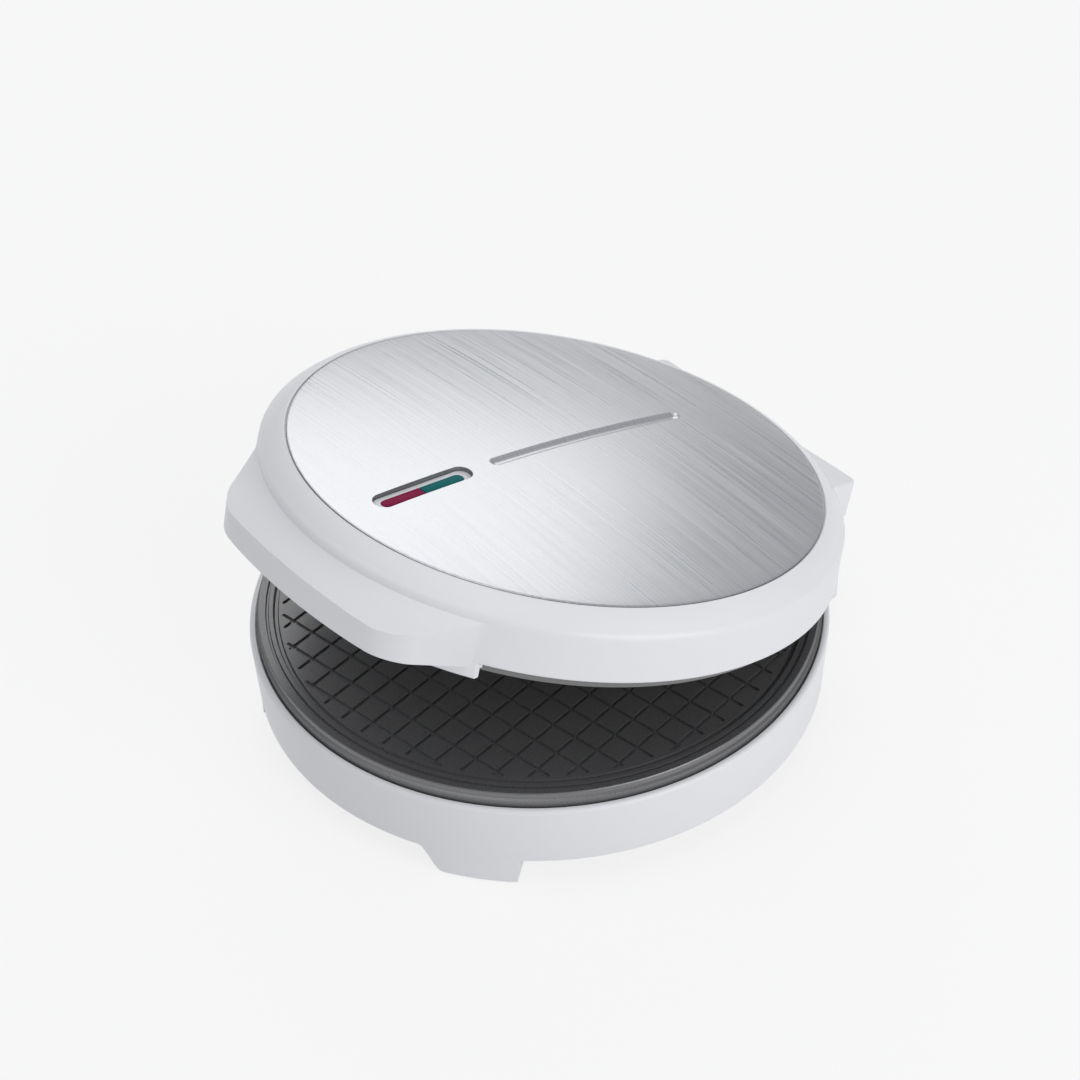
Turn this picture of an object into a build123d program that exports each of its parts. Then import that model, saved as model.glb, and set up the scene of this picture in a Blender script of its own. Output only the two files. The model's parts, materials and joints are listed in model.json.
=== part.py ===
"""Round waffle maker with a hinged lid, stored as it stands ajar.

All lengths are millimetres. +Z is up, the handle is at the front (-Y) and the hinge runs
along X at the back (+Y). Everything is first built round the upright axis of the drum with
the feet on z = 0 and the lid closed. The lid is then swung open to its stored angle, and the
whole machine slides along Y so that the origin is under the middle of its footprint.
"""

from build123d import *
from math import cos, radians, sin, sqrt
import os

os.makedirs("parts", exist_ok=True)

# Drum
SHELL_RADIUS = 101.5
SHELL_FOOT_RADIUS = 100.4
WALL = 2.5
FOOT_HEIGHT = 11.0
GRID_HEIGHT = 39.4
LIP_HEIGHT = 35.4
LEDGE_TOP = 33.2
LEDGE_INNER_RADIUS = 94.0
LEDGE_THICKNESS = 2.0
REAR_HALF_WIDTH = 50.0
REAR_FACE = 101.5
REAR_CORNER_RADIUS = 3.0

# Feet
PAD_DROP = 0.8
PAD_RADIUS = 4.0
PAD_DEPTH = 3.0
FOOT_MIDDLE_DEG = 37.5
FOOT_INNER_RADIUS = 89.5
FOOT_SPLAY_START = -20.6
FOOT_FLAT_START = -12.4
FOOT_FLAT_END = 13.1

# Bottom cover
COVER_RADIUS = 97.0
COVER_BOTTOM = 11.3
COVER_THICKNESS = 1.8
FLANGE_INNER_RADIUS = 86.0
COVER_SCREW_CIRCLE = 91.0

# Cooking plates, in their own frame: grid at z = 0, underside below
PLATE_RADIUS = 98.9
UPPER_PLATE_RADIUS = 97.6
PLATE_THICKNESS = 3.8
PLATE_SKIRT = 6.2
RIM_RISE = 0.8
GRID_PITCH = 9.32
GRID_TURN_DEG = 8.5
GRID_RADIUS = 89.5
GROOVE_WIDTH = 1.3
GROOVE_DEPTH = 1.0
LUG_CIRCLE = 86.0
LUG_RADIUS = 4.2
LUG_ANGLES = (60, 180, 300)
POST_CIRCLE = 42.0
POST_RADIUS = 3.4
POST_ANGLES = (90, 210, 330)
CLAMP_CIRCLE = 51.0
CLAMP_ANGLES = (60, 180, 300)

# Heating elements and reflectors, in the plate's frame
ELEMENT_CIRCLE = 60.0
ELEMENT_RADIUS = 3.25
ELEMENT_DEPTH = 7.1
ELEMENT_SWEEP_DEG = 320
REFLECTOR_DEPTH = 15.5
REFLECTOR_RADIUS = 78.0
SHEET = 0.8

# Lid, measured from the plane of the steel plate's edge
LID_RADIUS = 101.2
LID_SIDE = 22.2
CREASE_RADIUS = 98.6
CREASE_DROP = 4.4
SHOULDER_DROP = 7.6
DOME_RISE = 5.3
STEEL_RADIUS = 91.7
STEEL_THICKNESS = 0.7
STEEL_GAP = 0.4
STEEL_SEAT = 0.1
BLOCK_TOP = -8.0
PLATE_HANG = 4.8
PLATE_GAP = 0.8

# Handle
HANDLE_ROOT_HALF = 59.5
HANDLE_FRONT_HALF = 46.0
HANDLE_CORNER_Y = -105.0
HANDLE_FRONT_Y = -110.0
HANDLE_ROOT_Z = -5.2
HANDLE_FRONT_Z = -15.5
HANDLE_BOTTOM_Z = -24.0
HANDLE_CORNER_RADIUS = 9.0
HANDLE_WALL = 2.4
SKIRT_BOTTOM_Z = -28.0
SKIRT_INNER_RADIUS = 99.5

# Lamp window and centre groove of the steel plate
WINDOW_Y = -59.3
WINDOW_SPAN = 31.4
WINDOW_WIDTH = 8.0
BEZEL_WIDTH = 7.8
BEZEL_DROP = 1.7
LENS_SPAN = 29.0
LENS_WIDTH = 3.9
FLUTE_START_Y = -30.8
FLUTE_END_Y = 56.7
FLUTE_WIDTH = 4.0
FLUTE_DEPTH = 1.0

# Hinge
HINGE_Y = 110.0
HINGE_Z = 41.4
PIN_RADIUS = 2.0
PIN_PLAY = 0.05
PIN_HALF_LENGTH = 32.5
KNUCKLE_RADIUS = 6.5
CLIP_RADIUS = 4.2
CLIP_THICKNESS = 1.1
CLIP_GAP = 0.1
EAR_INNER_X = 22.0
EAR_OUTER_X = 30.0
ARM_INNER_X = 10.0
ARM_OUTER_X = 21.5
REST_OPEN_DEG = 14.5

# Cord inlet
INLET_Z = 22.0
INLET_BORE = 3.6
INLET_BODY = 6.0
INLET_FLANGE = 8.5

# Screws
SCREW_SHANK = 1.8
SCREW_HEAD = 3.2
SCREW_HEAD_HEIGHT = 2.0
SCREW_PLAY = 0.05
SCREW_SLOT = 0.8
COVER_SCREW_ANGLES = (0, 90, 180, 270)
BEYOND = 60.0

# Worked out from the driving dimensions
RIM_TOP = GRID_HEIGHT + RIM_RISE
LID_GRID = -LID_SIDE - PLATE_HANG + RIM_RISE
LID_CLOSED_Z = RIM_TOP + PLATE_GAP + LID_SIDE + PLATE_HANG
DOME_BALL = (STEEL_RADIUS**2 + DOME_RISE**2) / (2 * DOME_RISE)
DOME_CENTRE_Z = DOME_RISE - DOME_BALL
FLUTE_MIDDLE_Y = (FLUTE_START_Y + FLUTE_END_Y) / 2
LID_SCREW_FACE = -12.0

pieces = {}


def around(radius, angle_deg):
    """A point on a circle; the angle runs from the front towards +X."""
    return radius * sin(radians(angle_deg)), -radius * cos(radians(angle_deg))


def cylinder(radius, low, high, x=0.0, y=0.0):
    """An upright cylinder between two heights."""
    return Pos(x, y, (low + high) / 2) * Cylinder(radius, high - low)


def cross_cylinder(radius, x_low, x_high, y, z):
    """A cylinder along X."""
    return Pos((x_low + x_high) / 2, y, z) * Rot(0, 90, 0) * Cylinder(radius, x_high - x_low)


def block(x_low, x_high, y_low, y_high, z_low, z_high):
    """A box from its lowest to its highest corner."""
    middle = Pos((x_low + x_high) / 2, (y_low + y_high) / 2, (z_low + z_high) / 2)
    return middle * Box(x_high - x_low, y_high - y_low, z_high - z_low)


def turned(*edges):
    """A solid of revolution round Z from the edges of a closed (radius, height) outline."""
    outline = Plane.XZ * make_face(Curve() + list(edges))
    return revolve(outline, Axis.Z, 360)


def chain(*points):
    """Straight edges from point to point."""
    return [Line(a, b) for a, b in zip(points, points[1:])]


def slice_x(points, x_low, x_high):
    """A slab across X whose outline is given in (y, z)."""
    outline = Plane.YZ * make_face(Polyline(*points, close=True))
    return Pos(x_low, 0, 0) * extrude(outline, x_high - x_low, dir=(1, 0, 0))


def obround(span, width, y_middle, z_low, z_high):
    """An upright prism with round ends, long along Y; span is between the end centres."""
    shape = Rot(0, 0, 90) * SlotCenterToCenter(span, width)
    return Pos(0, y_middle, z_low) * extrude(shape, z_high - z_low)


def group(solids):
    """Several separate solids that share one node."""
    return Compound([solid for shape in solids for solid in shape.solids()])


def screw(x, y, head_face, shank_end, up=True):
    """A pan-head screw along Z: the head's bearing face and the shank's end are heights."""
    side = -1 if up else 1
    head_end = head_face + side * SCREW_HEAD_HEIGHT
    head = cylinder(SCREW_HEAD, min(head_face, head_end), max(head_face, head_end), x, y)
    shank = cylinder(SCREW_SHANK, min(head_face, shank_end), max(head_face, shank_end), x, y)
    half = SCREW_SLOT / 2
    slot = block(x - SCREW_HEAD, x + SCREW_HEAD, y - half, y + half, head_end - 0.6, head_end + 0.6)
    return head + shank - slot


# Base


def foot_envelope(inner_radius, outer_radius, low, high, grow=0.0):
    """One foot's shape: a stretch of ring cut by a profile with one splayed side."""
    ring = cylinder(outer_radius, low, high) - cylinder(inner_radius, low - 1, high + 1)
    start = FOOT_SPLAY_START - grow
    flat = FOOT_FLAT_START - grow
    end = FOOT_FLAT_END + grow
    splay = Spline((start, FOOT_HEIGHT), (flat, PAD_DROP), tangents=[(1, 0), (1, 0)])
    rest = Polyline((flat, PAD_DROP), (flat, low - 1), (end, low - 1), (end, high + 1))
    back = Polyline((end, high + 1), (start, high + 1), (start, FOOT_HEIGHT))
    outline = Plane.XZ * make_face(Curve() + [splay, rest, back])
    cutter = extrude(outline, 2 * SHELL_RADIUS, dir=(0, -1, 0))
    return ring & (Rot(0, 0, FOOT_MIDDLE_DEG) * cutter)


def four_times(shape):
    """A shape and its mirror images left to right and front to back."""
    right = [shape, mirror(shape, Plane.XZ)]
    return right + [mirror(one, Plane.YZ) for one in right]


def foot_centre():
    """Middle of the front right foot, where its pad sits."""
    return around((FOOT_INNER_RADIUS + SHELL_FOOT_RADIUS) / 2, FOOT_MIDDLE_DEG + 1)


def base_feet():
    """Four feet, each with a well for its pad."""
    foot = foot_envelope(FOOT_INNER_RADIUS, SHELL_FOOT_RADIUS - 0.1, PAD_DROP, LEDGE_TOP - 16)
    x, y = foot_centre()
    foot -= cylinder(PAD_RADIUS, 0, PAD_DEPTH, x, y)
    return four_times(foot)


def foot_pads():
    """The rubber discs that stand a little below the feet."""
    x, y = foot_centre()
    return group(four_times(cylinder(PAD_RADIUS, 0, PAD_DEPTH, x, y)))


def rear_block(low, high, inset=0.0):
    """The squared-off back that carries the hinge."""
    half = REAR_HALF_WIDTH - inset
    corner = max(REAR_CORNER_RADIUS - inset, 0.5)
    plan = RectangleRounded(2 * half, REAR_FACE - inset, corner)
    return Pos(0, (REAR_FACE - inset) / 2, low) * extrude(plan, high - low)


def on_knuckle(z, angle_deg):
    """A point of a knuckle's outline; the angle runs from the back upwards."""
    angle = radians(angle_deg)
    return HINGE_Y + KNUCKLE_RADIUS * cos(angle), z + KNUCKLE_RADIUS * sin(angle)


def hinge_ear(x_low, x_high):
    """An ear of the rear block: a knuckle on a web that runs down into the wall."""
    front = REAR_FACE - WALL
    outline = [
        (front, FOOT_HEIGHT + 4),
        (front, LIP_HEIGHT),
        on_knuckle(HINGE_Z, 140),
        (HINGE_Y, HINGE_Z),
        on_knuckle(HINGE_Z, -35),
    ]
    web = slice_x(outline, x_low, x_high)
    return web + cross_cylinder(KNUCKLE_RADIUS, x_low, x_high, HINGE_Y, HINGE_Z)


def plate_tab(angle_deg):
    """A tab of the ledge that a plate screw passes through."""
    low = LEDGE_TOP - LEDGE_THICKNESS
    tab = block(-6, 6, -LEDGE_INNER_RADIUS - 2, -LUG_CIRCLE + 5.5, low, LEDGE_TOP)
    return Rot(0, 0, angle_deg) * tab


def cover_boss(angle_deg):
    """A post on the flange that a cover screw bites into."""
    x, y = around(COVER_SCREW_CIRCLE, angle_deg)
    return cylinder(3.6, COVER_BOTTOM + COVER_THICKNESS, COVER_BOTTOM + 12, x, y)


def base_outer():
    """The drum with its rounded lip and the squared-off back, both still solid."""
    lip_start = (SHELL_RADIUS, LIP_HEIGHT - 1.5)
    lip_end = (SHELL_RADIUS - 1.5, LIP_HEIGHT)
    drum = turned(
        *chain((0, FOOT_HEIGHT), (SHELL_FOOT_RADIUS, FOOT_HEIGHT), lip_start),
        ThreePointArc(lip_start, (SHELL_RADIUS - 0.4, LIP_HEIGHT - 0.4), lip_end),
        *chain(lip_end, (0, LIP_HEIGHT), (0, FOOT_HEIGHT)),
    )
    return drum + rear_block(FOOT_HEIGHT, LIP_HEIGHT)


def base_room():
    """The hollow inside the drum, with the ledge and the flange left standing."""
    flange_low = COVER_BOTTOM + COVER_THICKNESS
    under_ledge = LEDGE_TOP - LEDGE_THICKNESS
    room = cylinder(SHELL_RADIUS - WALL, flange_low + 2, under_ledge)
    room += rear_block(flange_low + 2, LIP_HEIGHT - WALL, WALL)
    room += cylinder(FLANGE_INNER_RADIUS, FOOT_HEIGHT - 1, flange_low + 3)
    room += cylinder(COVER_RADIUS + 0.3, FOOT_HEIGHT - 1, flange_low)
    room += cylinder(LEDGE_INNER_RADIUS, under_ledge - 1, LIP_HEIGHT)
    return room + cylinder(PLATE_RADIUS + 0.4, LEDGE_TOP, LIP_HEIGHT + 1)


def base_holes():
    """The bores for the pin, the screws and the cord's bush."""
    holes = cross_cylinder(PIN_RADIUS + PIN_PLAY, -BEYOND, BEYOND, HINGE_Y, HINGE_Z)
    for angle in LUG_ANGLES:
        place = around(LUG_CIRCLE, angle)
        holes += cylinder(SCREW_SHANK + 0.4, LEDGE_TOP - 5, LEDGE_TOP + 1, *place)
    for angle in COVER_SCREW_ANGLES:
        place = around(COVER_SCREW_CIRCLE, angle)
        holes += cylinder(SCREW_SHANK + SCREW_PLAY, FOOT_HEIGHT, COVER_BOTTOM + 9, *place)
    inlet = Rot(90, 0, 0) * Cylinder(INLET_BODY + 0.1, 4 * WALL)
    return holes + Pos(0, REAR_FACE, INLET_Z) * inlet


def base_shell():
    """The white moulded drum with its ledge, feet and hinge ears."""
    shell = base_outer() - base_room()
    for angle in LUG_ANGLES:
        shell += plate_tab(angle)
    for angle in COVER_SCREW_ANGLES:
        shell += cover_boss(angle)
    for foot in base_feet():
        shell += foot
    for side in (-1, 1):
        low, high = sorted((side * EAR_INNER_X, side * EAR_OUTER_X))
        shell += hinge_ear(low, high)
    return shell - base_holes()


def bottom_cover():
    """The flat cover: notched round the feet and slotted in the middle to let heat out."""
    high = COVER_BOTTOM + COVER_THICKNESS
    cover = cylinder(COVER_RADIUS, COVER_BOTTOM, high)
    for notch in four_times(foot_envelope(FOOT_INNER_RADIUS - 0.5, SHELL_RADIUS, 5, 20, grow=2.5)):
        cover -= notch
    for angle in COVER_SCREW_ANGLES:
        place = around(COVER_SCREW_CIRCLE, angle)
        cover -= cylinder(SCREW_SHANK + 0.4, COVER_BOTTOM - 1, high + 1, *place)
    for column in range(-3, 4):
        slot = Pos(column * 8, 0, COVER_BOTTOM - 1) * extrude(SlotOverall(36, 3, rotation=90), 5)
        cover -= slot
    return cover


def cord_inlet_bush():
    """The lined hole in the back through which the flex enters."""
    flange = Cylinder(INLET_FLANGE, 2.0)
    body = Pos(0, 0, 3.5) * Cylinder(INLET_BODY, 5.0)
    bush = flange + body - Cylinder(INLET_BORE, 30)
    return Pos(0, REAR_FACE + 1.0, INLET_Z) * Rot(90, 0, 0) * bush


def terminal_block():
    """The moulded block where the flex is joined, with three screw wells."""
    low = COVER_BOTTOM + COVER_THICKNESS
    body = block(-18, 18, 62, 74, low, low + 8)
    for x in (-12, 0, 12):
        body -= cylinder(2.2, low + 3, low + 9, x, 68)
    return body


def hinge_pin():
    """The plain rod that the lid swings on."""
    return cross_cylinder(PIN_RADIUS, -PIN_HALF_LENGTH, PIN_HALF_LENGTH, HINGE_Y, HINGE_Z)


def hinge_pin_clips():
    """A spring washer on each end of the pin."""
    clips = []
    start = EAR_OUTER_X + CLIP_GAP
    for side in (-1, 1):
        low, high = sorted((side * start, side * (start + CLIP_THICKNESS)))
        ring = cross_cylinder(CLIP_RADIUS, low, high, HINGE_Y, HINGE_Z)
        ring -= cross_cylinder(PIN_RADIUS + 0.02, low - 1, high + 1, HINGE_Y, HINGE_Z)
        clips.append(ring)
    return group(clips)


# Cooking plate with its heater, in the plate's own frame


def grid_grooves():
    """Two crossing families of round-ended grooves that stop short of the ring."""
    count = int(GRID_RADIUS // GRID_PITCH)
    grooves = Sketch()
    for step in range(-count, count + 1):
        offset = step * GRID_PITCH
        length = 2 * sqrt(GRID_RADIUS**2 - offset**2)
        if length < 2 * GRID_PITCH:
            continue
        grooves += Pos(0, offset) * SlotOverall(length, GROOVE_WIDTH)
        grooves += Pos(offset, 0) * SlotOverall(length, GROOVE_WIDTH, rotation=90)
    return Pos(0, 0, -GROOVE_DEPTH) * extrude(Rot(0, 0, GRID_TURN_DEG) * grooves, GROOVE_DEPTH + 1)


def plate_disc(radius):
    """The disc with the raised ring mouldings round its edge."""
    skirt = [
        (0, -PLATE_THICKNESS),
        (radius - 3, -PLATE_THICKNESS),
        (radius - 3, -PLATE_SKIRT),
        (radius, -PLATE_SKIRT),
        (radius, -1.6),
    ]
    outer_ring = [
        (radius - 0.7, -1.2),
        (radius - 0.9, RIM_RISE - 0.3),
        (radius - 1.2, RIM_RISE),
        (radius - 3.4, RIM_RISE),
        (radius - 3.7, -0.2),
    ]
    inner_ring = [
        (radius - 4.3, -0.2),
        (radius - 4.6, RIM_RISE - 0.2),
        (radius - 6.0, RIM_RISE - 0.2),
        (radius - 6.6, -0.8),
        (radius - 7.6, -0.8),
        (radius - 8.0, 0),
    ]
    return turned(*chain(*skirt, *outer_ring, *inner_ring, (0, 0), (0, -PLATE_THICKNESS)))


def drilled_post(radius, low, hole_high, x, y):
    """A post under the plate and the bore that goes into it, as (post, bore)."""
    post = cylinder(radius, low, -PLATE_THICKNESS, x, y)
    return post, cylinder(SCREW_SHANK + SCREW_PLAY, low - 1, hole_high, x, y)


def cooking_plate(radius):
    """A cast plate: the disc with its grid, and drilled lugs and posts below."""
    plate = plate_disc(radius) - grid_grooves()
    strip_top = clamp_top()
    posts = [drilled_post(LUG_RADIUS, -PLATE_SKIRT, -2.2, *around(LUG_CIRCLE, angle))
             for angle in LUG_ANGLES]
    posts += [drilled_post(POST_RADIUS, -REFLECTOR_DEPTH, -REFLECTOR_DEPTH + 8, *around(POST_CIRCLE, angle))
              for angle in POST_ANGLES]
    posts += [drilled_post(POST_RADIUS, strip_top, strip_top + 5, *around(CLAMP_CIRCLE, angle))
              for angle in CLAMP_ANGLES]
    for post, bore in posts:
        plate += post
        plate -= bore
    return plate


def clamp_top():
    """Height of the element's underside, where the clamps lie."""
    return -ELEMENT_DEPTH - ELEMENT_RADIUS - 0.05


def heating_element():
    """A tube bent to an open ring, its two ends turned down as terminals."""
    tube = Plane.XZ * Pos(ELEMENT_CIRCLE, -ELEMENT_DEPTH) * Circle(ELEMENT_RADIUS)
    ring = revolve(tube, Axis.Z, ELEMENT_SWEEP_DEG)
    gap = 360 - ELEMENT_SWEEP_DEG
    ring = Rot(0, 0, 90 + gap / 2) * ring
    half = ELEMENT_CIRCLE * sin(radians(gap / 2))
    reach = ELEMENT_CIRCLE * cos(radians(gap / 2))
    for side in (-1, 1):
        ring += cylinder(ELEMENT_RADIUS - 0.3, -14.6, -ELEMENT_DEPTH + 1.5, side * half, reach)
        ring += Pos(side * half, reach, -ELEMENT_DEPTH) * Sphere(ELEMENT_RADIUS)
    return ring


def element_clamps():
    """Three strips that press the element against the plate."""
    high = clamp_top()
    clamps = []
    for angle in CLAMP_ANGLES:
        strip = block(-4, 4, -ELEMENT_CIRCLE - 3, -CLAMP_CIRCLE + 4, high - SHEET, high)
        strip -= cylinder(SCREW_SHANK + 0.2, high - 2, high + 1, 0, -CLAMP_CIRCLE)
        clamps.append(Rot(0, 0, angle) * strip)
    return group(clamps)


def clamp_screws():
    """A screw through each clamp strip."""
    high = clamp_top() - SHEET
    return group([screw(*around(CLAMP_CIRCLE, angle), high, high + 5) for angle in CLAMP_ANGLES])


def heat_reflector():
    """A shallow pan behind the element, its rim turned towards the plate."""
    low = -REFLECTOR_DEPTH - SHEET
    pan = cylinder(REFLECTOR_RADIUS, low, low + 7)
    pan -= cylinder(REFLECTOR_RADIUS - SHEET, low + SHEET, low + 8)
    for angle in POST_ANGLES:
        pan -= cylinder(SCREW_SHANK + 0.2, low - 1, low + 2, *around(POST_CIRCLE, angle))
    return pan


def reflector_screws():
    """The screws that hold the reflector on its posts."""
    face = -REFLECTOR_DEPTH - SHEET
    return group([screw(*around(POST_CIRCLE, angle), face, face + 7) for angle in POST_ANGLES])


def thermal_fuse():
    """A small cartridge in a saddle against the plate's underside."""
    top = -PLATE_THICKNESS - 0.1
    body = Pos(0, 18, top - 2.2) * Rot(0, 90, 0) * Cylinder(2.2, 16)
    leads = Pos(0, 18, top - 2.2) * Rot(0, 90, 0) * Cylinder(0.5, 30)
    return body + leads


def thermostat():
    """A bimetal switch: a metal cup against the plate, a moulded body and two blades."""
    top = -PLATE_THICKNESS - 0.1
    cup = cylinder(9, top - 2, top)
    body = cylinder(7.5, top - 8, top - 2)
    blades = block(-6.5, -3.5, -3, 3, top - 11, top - 8) + block(3.5, 6.5, -3, 3, top - 11, top - 8)
    return cup + body + blades


# Lid, in its own frame: z = 0 at the edge of the steel plate


def dome_ball(offset):
    """Everything under the steel plate's outer surface moved by an offset."""
    return Pos(0, 0, DOME_CENTRE_Z) * Sphere(DOME_BALL + offset)


def dome_layer(prism, top_offset, bottom_offset):
    """The part of a prism between two offsets of the dome."""
    return (prism & dome_ball(top_offset)) - dome_ball(bottom_offset)


def dome_height(reach, offset):
    """Height of the dome at a reach from the axis, moved by an offset."""
    return DOME_CENTRE_Z + sqrt((DOME_BALL + offset) ** 2 - reach**2)


def dome_arc(radius, offset):
    """The dome's outline from a radius to the axis, moved by an offset."""
    places = [(reach, dome_height(reach, offset)) for reach in (radius, radius / 2, 0)]
    return ThreePointArc(*places)


def bowed(half, end_y, middle_y, z):
    """An arc across X between two ends, bowed to a middle point."""
    return ThreePointArc((-half, end_y, z), (0, middle_y, z), (half, end_y, z))


def handle_wedge(root_half, root_y, front_half, drop):
    """Everything under the top that is ruled from the lid's crease to the front edge."""
    root = bowed(root_half + 4, root_y, -CREASE_RADIUS + 0.6, HANDLE_ROOT_Z - drop)
    front = bowed(front_half + 2, HANDLE_CORNER_Y - 2, HANDLE_FRONT_Y - 2, HANDLE_FRONT_Z - drop)
    return extrude(Face.make_surface_from_curves(root, front), 30, dir=(0, 0, -1))


def handle_plan(root_half, root_y, front_half, inset):
    """The handle from above: it narrows to a bowed front with rounded corners."""
    corner_y = HANDLE_CORNER_Y + inset
    back = Polyline(
        (front_half, corner_y), (root_half + 1, root_y), (-root_half - 1, root_y), (-front_half, corner_y)
    )
    front = bowed(front_half, corner_y, HANDLE_FRONT_Y + inset, 0)
    plan = make_face(front + back)
    corners = plan.vertices().filter_by(lambda v: v.Y < corner_y + 0.1)
    return fillet(corners, HANDLE_CORNER_RADIUS - inset)


def handle_solid(inset, drop, bottom):
    """The handle's block, or with an inset and a drop the room inside it."""
    root_half = HANDLE_ROOT_HALF - inset
    front_half = HANDLE_FRONT_HALF - inset
    root_y = -sqrt(LID_RADIUS**2 - root_half**2) + 3
    plan = handle_plan(root_half, root_y, front_half, inset)
    prism = Pos(0, 0, bottom) * extrude(plan, -bottom)
    return prism & handle_wedge(root_half, root_y, front_half, drop)


def lid_skirt():
    """The curved apron that hangs below the lid's edge behind the handle."""
    ring = cylinder(LID_RADIUS, SKIRT_BOTTOM_Z, -LID_SIDE + 1)
    ring -= cylinder(SKIRT_INNER_RADIUS, SKIRT_BOTTOM_Z - 1, -LID_SIDE + 2)
    front = block(-HANDLE_ROOT_HALF, HANDLE_ROOT_HALF, -120, -60, SKIRT_BOTTOM_Z - 1, 0)
    return ring & front


def lid_column(angle_deg):
    """A column that carries the upper plate; its screw goes in from the top."""
    return cylinder(5.4, LID_GRID + PLATE_SKIRT, 0, *around(LUG_CIRCLE, angle_deg))


def lid_arm(x_low, x_high):
    """A hinge arm from the back of the lid down to its knuckle."""
    z = HINGE_Z - LID_CLOSED_Z
    front = REAR_FACE - WALL - 0.5
    top = BLOCK_TOP - 2
    outline = [
        (front, -LID_SIDE + 1),
        (front, top),
        (REAR_FACE, top),
        on_knuckle(z, 20),
        (HINGE_Y, z),
        on_knuckle(z, 225),
    ]
    web = slice_x(outline, x_low, x_high)
    return web + cross_cylinder(KNUCKLE_RADIUS, x_low, x_high, HINGE_Y, z)


def lid_outer():
    """The lid still solid: a leaning wall, a soft shoulder and the steel plate's recess."""
    wall_top = (LID_RADIUS - 0.8, -SHOULDER_DROP)
    crease = (CREASE_RADIUS, -CREASE_DROP)
    edge = STEEL_RADIUS + STEEL_GAP
    rim = (edge + 0.5, 0.1)
    floor_offset = -STEEL_THICKNESS - STEEL_SEAT
    body = turned(
        *chain((0, -LID_SIDE), (LID_RADIUS, -LID_SIDE), wall_top),
        ThreePointArc(wall_top, (LID_RADIUS - 1.3, -5.7), crease),
        ThreePointArc(crease, (95.6, -1.7), rim),
        *chain(rim, (edge, -0.3), (edge, dome_height(edge, floor_offset))),
        dome_arc(edge, floor_offset),
        *chain((0, DOME_RISE + floor_offset), (0, -LID_SIDE)),
    )
    return body + rear_block(-LID_SIDE, BLOCK_TOP)


def lid_room():
    """The hollow inside the lid."""
    inner = LID_RADIUS - WALL
    low = -LID_SIDE - 1
    offset = -STEEL_THICKNESS - STEEL_SEAT - WALL
    top_radius = STEEL_RADIUS - 1.5
    wall = [
        (0, low),
        (inner, low),
        (inner - 0.8, -SHOULDER_DROP),
        (inner - 2.2, -6.6),
        (top_radius, dome_height(top_radius, offset)),
    ]
    room = turned(*chain(*wall), dome_arc(top_radius, offset), *chain((0, DOME_RISE + offset), (0, low)))
    return room + rear_block(low, BLOCK_TOP - WALL, WALL)


def lid_holes():
    """The bores for the pin and the plate screws, and the room for the window and the flute."""
    holes = cross_cylinder(PIN_RADIUS + PIN_PLAY, -BEYOND, BEYOND, HINGE_Y, HINGE_Z - LID_CLOSED_Z)
    for angle in LUG_ANGLES:
        place = around(LUG_CIRCLE, angle)
        holes += cylinder(SCREW_HEAD + 0.3, LID_SCREW_FACE, 6, *place)
        holes += cylinder(SCREW_SHANK + 0.3, -30, 0, *place)
    holes += obround(WINDOW_SPAN, WINDOW_WIDTH + 0.1, WINDOW_Y, -20, 10)
    flute = obround(FLUTE_END_Y - FLUTE_START_Y, FLUTE_WIDTH + 2, FLUTE_MIDDLE_Y, -20, 10)
    return holes + dome_layer(flute, 1, -STEEL_THICKNESS - FLUTE_DEPTH - 0.2)


def lid_shell():
    """The white moulded lid with its handle, apron and hinge arms."""
    shell = lid_outer() - lid_room()
    handle = handle_solid(0, 0, HANDLE_BOTTOM_Z)
    handle -= handle_solid(HANDLE_WALL, HANDLE_WALL, HANDLE_BOTTOM_Z - 2)
    handle -= cylinder(LID_RADIUS - 1.5, -40, 10)
    shell += handle
    shell += lid_skirt()
    for angle in LUG_ANGLES:
        shell += lid_column(angle) & dome_ball(-STEEL_THICKNESS - 1.5)
    for side in (-1, 1):
        low, high = sorted((side * ARM_INNER_X, side * ARM_OUTER_X))
        shell += lid_arm(low, high)
    return shell - lid_holes()


def steel_top_plate():
    """A domed sheet with the lamp window cut out and a pressed flute behind it."""
    sheet = dome_layer(cylinder(STEEL_RADIUS, -10, 10), 0, -STEEL_THICKNESS)
    sheet -= obround(WINDOW_SPAN, WINDOW_WIDTH, WINDOW_Y, -20, 20)
    span = FLUTE_END_Y - FLUTE_START_Y
    hole = obround(span, FLUTE_WIDTH, FLUTE_MIDDLE_Y, -20, 20)
    tray = obround(span, FLUTE_WIDTH + 1.2, FLUTE_MIDDLE_Y, -20, 20)
    pressed = dome_layer(tray, 0, -STEEL_THICKNESS - FLUTE_DEPTH) - dome_layer(hole, 2, -FLUTE_DEPTH)
    return (sheet - tray) + pressed


def lamp_bezel():
    """The moulded frame in the window, slotted for the two lenses."""
    ring = dome_layer(obround(WINDOW_SPAN, BEZEL_WIDTH, WINDOW_Y, -20, 20), -BEZEL_DROP, -5.5)
    return ring - obround(LENS_SPAN, LENS_WIDTH + 0.1, WINDOW_Y, -20, 20)


def lamp_lens(front):
    """One half of the slot: the front lens shows power and the back one shows ready."""
    lens = dome_layer(obround(LENS_SPAN, LENS_WIDTH, WINDOW_Y, -20, 20), -BEZEL_DROP + 0.15, -5)
    if front:
        return lens & block(-10, 10, WINDOW_Y - 40, WINDOW_Y - 0.1, -20, 20)
    return lens & block(-10, 10, WINDOW_Y + 0.1, WINDOW_Y + 40, -20, 20)


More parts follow.
